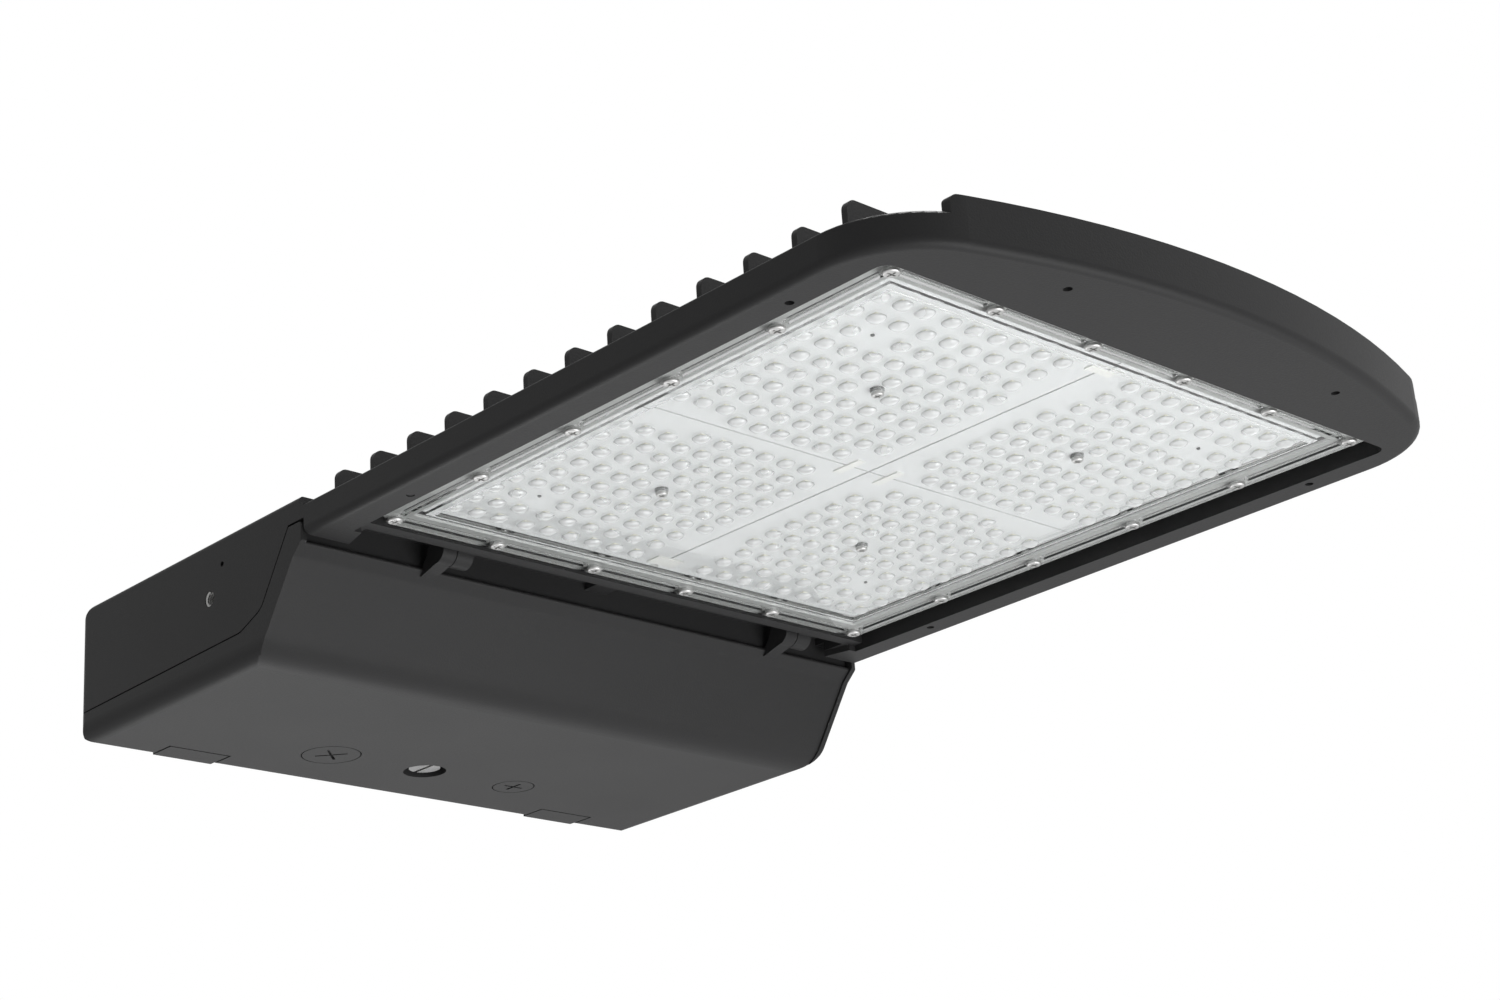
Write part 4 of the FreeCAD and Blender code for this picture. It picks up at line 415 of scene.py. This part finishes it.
class AREALIGHT_OT_boards(bpy.types.Operator):
    """White boards, light sources and board connectors"""
    bl_idname = "area_light.boards"
    bl_label = "Boards"

    def execute(self, context):
        grain = shared_grain()
        mask = grained("board_mask", grain, settings().board_colour, 0.35, 900.0, 25.0, 0.02,
                       0.00002)
        dress(mask, *[name for name in NODES if name.startswith("led_board_")])
        dress(grained("phosphor", grain, (0.86, 0.84, 0.7), 0.3, 1800.0, 400.0, 0.06, 0.00003),
              "led_chips")
        dress(grained("white_nylon", grain, (0.78, 0.78, 0.75), 0.45, 1500.0, 60.0, 0.03, 0.00003),
              "board_connectors", "door_screw_ring")
        self.add_marks(grain)
        return {"FINISHED"}

    def add_marks(self, grain):
        """A small dark index mark on every board."""
        reach_x, reach_y = 0.1067, 0.107
        radius, height, chamfer, root = 0.0009, 0.0007, 0.0002, 0.0001
        profile = [(0, root), (radius, root), (radius, chamfer - height),
                   (radius - chamfer, -height), (0, -height)]
        middle = (COVER_LOW + COVER_HIGH) / 2
        board_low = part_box("led_board_rear_left")[0].z
        bm = bmesh.new()
        for i in (-1, 1):
            for j in (-1, 1):
                spot = Vector((middle.x + i * reach_x, middle.y + j * reach_y, board_low))
                revolved(bm, spot, profile, 16)
        ink = finished("mark_ink", lambda: grained(
            "mark_ink", grain, (0.03, 0.03, 0.03), 0.6, 1500.0, 90.0, 0.2, 0.00003))
        piece("board_marks", mesh_from("board_marks", bm), ink, "head")


class AREALIGHT_OT_seals(bpy.types.Operator):
    """Silicone and foam seals"""
    bl_idname = "area_light.seals"
    bl_label = "Seals"

    def execute(self, context):
        grain = shared_grain()
        dress(grained("pale_silicone", grain, (0.72, 0.73, 0.72), 0.5, 700.0, 30.0, 0.03, 0.00003),
              "lens_gasket")
        dress(grained("foam_rubber", grain, (0.018, 0.018, 0.018), 0.85, 1600.0, 80.0, 0.25,
                      0.0003), "door_gasket", "large_plug_seal", "small_plug_seal", "wire_grommet",
              "arm_gasket")
        return {"FINISHED"}


class AREALIGHT_OT_fasteners(bpy.types.Operator):
    """Stainless screws and hinge pins"""
    bl_idname = "area_light.fasteners"
    bl_label = "Screws and pins"

    def execute(self, context):
        dress(zinc_finish(), "door_screw")
        dress(steel_finish(), "lens_screws", "board_screws", "hinge_pins", "tray_screws",
              "driver_screws", "surge_screws", "ground_screw", "terminal_screws")
        return {"FINISHED"}


class AREALIGHT_OT_threads(bpy.types.Operator):
    """Bare thread turns in the two side holes"""
    bl_idname = "area_light.threads"
    bl_label = "Side threads"

    def execute(self, context):
        chosen = settings()
        steps = 28
        root, depth, first_turn = 0.00002, 0.00085, 0.0007
        half_foot, half_tip = 0.0005, 0.0001
        for mount in frame["record"]["mounts"]:
            if not mount["name"].startswith("side_thread"):
                continue
            outward = Vector(mount["axis"])
            centre = Vector(mount["pos_m"])
            crest = mount["dims"]["r_mm"] / 1000
            turn = Vector((0, 0, 1)).rotation_difference(outward).to_matrix()
            section = ((crest - root, half_foot), (crest - depth, half_tip),
                       (crest - depth, -half_tip), (crest - root, -half_foot))
            bm = bmesh.new()
            loops = []
            for i in range(chosen.thread_turns * steps + 1):
                angle = 2 * math.pi * i / steps
                along = -first_turn - chosen.thread_pitch * i / steps
                spoke = Vector((math.cos(angle), math.sin(angle), 0))
                ring = []
                for radius, step in section:
                    spot = spoke * radius + Vector((0, 0, along + step))
                    ring.append(bm.verts.new(centre + turn @ spot))
                loops.append(ring)
            for first, second in zip(loops, loops[1:]):
                for j in range(4):
                    k = (j + 1) % 4
                    bm.faces.new((first[j], first[k], second[k], second[j]))
            bm.faces.new(loops[0])
            bm.faces.new(loops[-1][::-1])
            piece(mount["name"] + "_turns", mesh_from(mount["name"], bm), bare_metal_finish(),
                  "head", smooth=False)
        return {"FINISHED"}


class AREALIGHT_OT_compartment(bpy.types.Operator):
    """Finishes of the parts inside the driver compartment"""
    bl_idname = "area_light.compartment"
    bl_label = "Compartment"

    def execute(self, context):
        grain = shared_grain()
        dress(grained("zinc_sheet", grain, (0.5, 0.51, 0.52), 0.38, 350.0, 60.0, 0.2, 0.00003,
                      metallic=1.0), "driver_tray")
        dress(grained("driver_enamel", grain, (0.62, 0.62, 0.6), 0.42, 1400.0, 30.0, 0.04,
                      0.00005), "driver_front_unit", "driver_rear_unit")
        dress(grained("black_moulding", grain, (0.022, 0.022, 0.023), 0.5, 1500.0, 60.0, 0.12,
                      0.00008), "surge_protector", "terminal_block")
        dress(grained("black_lead", grain, (0.02, 0.02, 0.02), 0.45, 1200.0, 90.0, 0.1, 0.00003),
              "supply_leads")
        dress(grained("white_lead", grain, (0.7, 0.7, 0.69), 0.42, 1200.0, 90.0, 0.08, 0.00003),
              "output_leads")
        return {"FINISHED"}


class AREALIGHT_OT_stage(bpy.types.Operator):
    """Camera, floor, lamps and white surroundings"""
    bl_idname = "area_light.stage"
    bl_label = "Stage"

    def execute(self, context):
        self.add_camera()
        self.add_floor()
        self.add_world()
        power = settings().key_power
        self.add_lamp("main_lamp", (0.2, -1.1, -1.0), (0, -0.3, 0), 1.3, power)
        self.add_lamp("rear_lamp", (0.3, 0.6, -1.2), (0, -0.2, 0), 1.2, power * 0.65)
        self.add_lamp("top_lamp", (0.8, -0.6, 1.6), (0, -0.3, 0), 1.5, power * 2.4)
        return {"FINISHED"}

    def add_camera(self):
        data = bpy.data.cameras.new("camera")
        data.sensor_width = 36
        data.lens = 67.27
        camera = bpy.data.objects.new("camera", data)
        camera.location = (-0.87803, -1.19095, -0.44952)
        camera.rotation_euler = Euler([math.radians(a) for a in (111.2112, 3.7117, -43.2598)])
        bpy.context.scene.collection.objects.link(camera)
        bpy.context.scene.camera = camera

    def add_floor(self):
        mesh = bpy.data.meshes.new("floor")
        z = HOUSING_LOW.z - settings().floor_drop
        mesh.from_pydata([(-6, -6, z), (6, -6, z), (6, 6, z), (-6, 6, z)], [], [(0, 1, 2, 3)])
        floor = bpy.data.objects.new("floor", mesh)
        bpy.context.scene.collection.objects.link(floor)
        material, tree, shader = new_tree("floor_paint")
        tree.links.new(mixed(tree, noise(tree, 3.0), (0.8, 0.8, 0.8, 1), (0.84, 0.84, 0.84, 1)),
                       shader.inputs["Base Color"])
        shader.inputs["Roughness"].default_value = 0.9
        shader.inputs["Specular IOR Level"].default_value = 0.0
        shader.inputs["Emission Color"].default_value = (1, 1, 1, 1)
        pale_share = 0.3
        tree.links.new(math_node(tree, "MULTIPLY", seen_rays(tree, 1.0), pale_share),
                       shader.inputs["Emission Strength"])
        mesh.materials.append(material)

    def add_world(self):
        world = bpy.data.worlds.new("surroundings")
        world.use_nodes = True
        tree = world.node_tree
        tree.nodes.clear()
        glossy_share = 0.62
        background = tree.nodes.new("ShaderNodeBackground")
        tree.links.new(mixed(tree, seen_rays(tree, glossy_share), (0.2, 0.2, 0.2, 1), (1, 1, 1, 1)),
                       background.inputs["Color"])
        output = tree.nodes.new("ShaderNodeOutputWorld")
        tree.links.new(background.outputs[0], output.inputs[0])
        bpy.context.scene.world = world
        bpy.context.scene.view_settings.view_transform = "Standard"

    def add_lamp(self, name, place, target, size, power):
        data = bpy.data.lights.new(name, "AREA")
        data.shape = "DISK"
        data.size = size
        data.energy = power
        lamp = bpy.data.objects.new(name, data)
        lamp.location = place
        lamp.rotation_euler = (Vector(target) - Vector(place)).to_track_quat("-Z", "Y").to_euler()
        bpy.context.scene.collection.objects.link(lamp)


MAKERS = (
    AREALIGHT_OT_stage,
    AREALIGHT_OT_castings,
    AREALIGHT_OT_panel,
    AREALIGHT_OT_boards,
    AREALIGHT_OT_seals,
    AREALIGHT_OT_fasteners,
    AREALIGHT_OT_threads,
    AREALIGHT_OT_compartment,
)


class AREALIGHT_PT_panel(bpy.types.Panel):
    """Lists the light's settings and makers"""
    bl_label = "Area light"
    bl_idname = "AREALIGHT_PT_panel"
    bl_space_type = "VIEW_3D"
    bl_region_type = "UI"
    bl_category = "Area light"

    def draw(self, context):
        column = self.layout.column()
        for name in AreaLightSettings.__annotations__:
            column.prop(context.scene.area_light, name)
        for maker in MAKERS:
            column.operator(maker.bl_idname)


def register():
    for item in (AreaLightSettings, *MAKERS, AREALIGHT_PT_panel):
        bpy.utils.register_class(item)
    bpy.types.Scene.area_light = PointerProperty(type=AreaLightSettings)


def unregister():
    del bpy.types.Scene.area_light
    for item in (AREALIGHT_PT_panel, *reversed(MAKERS), AreaLightSettings):
        bpy.utils.unregister_class(item)


def main():
    register()
    for maker in MAKERS:
        section, action = maker.bl_idname.split(".")
        getattr(getattr(bpy.ops, section), action)()


if __name__ == "__main__":
    main()
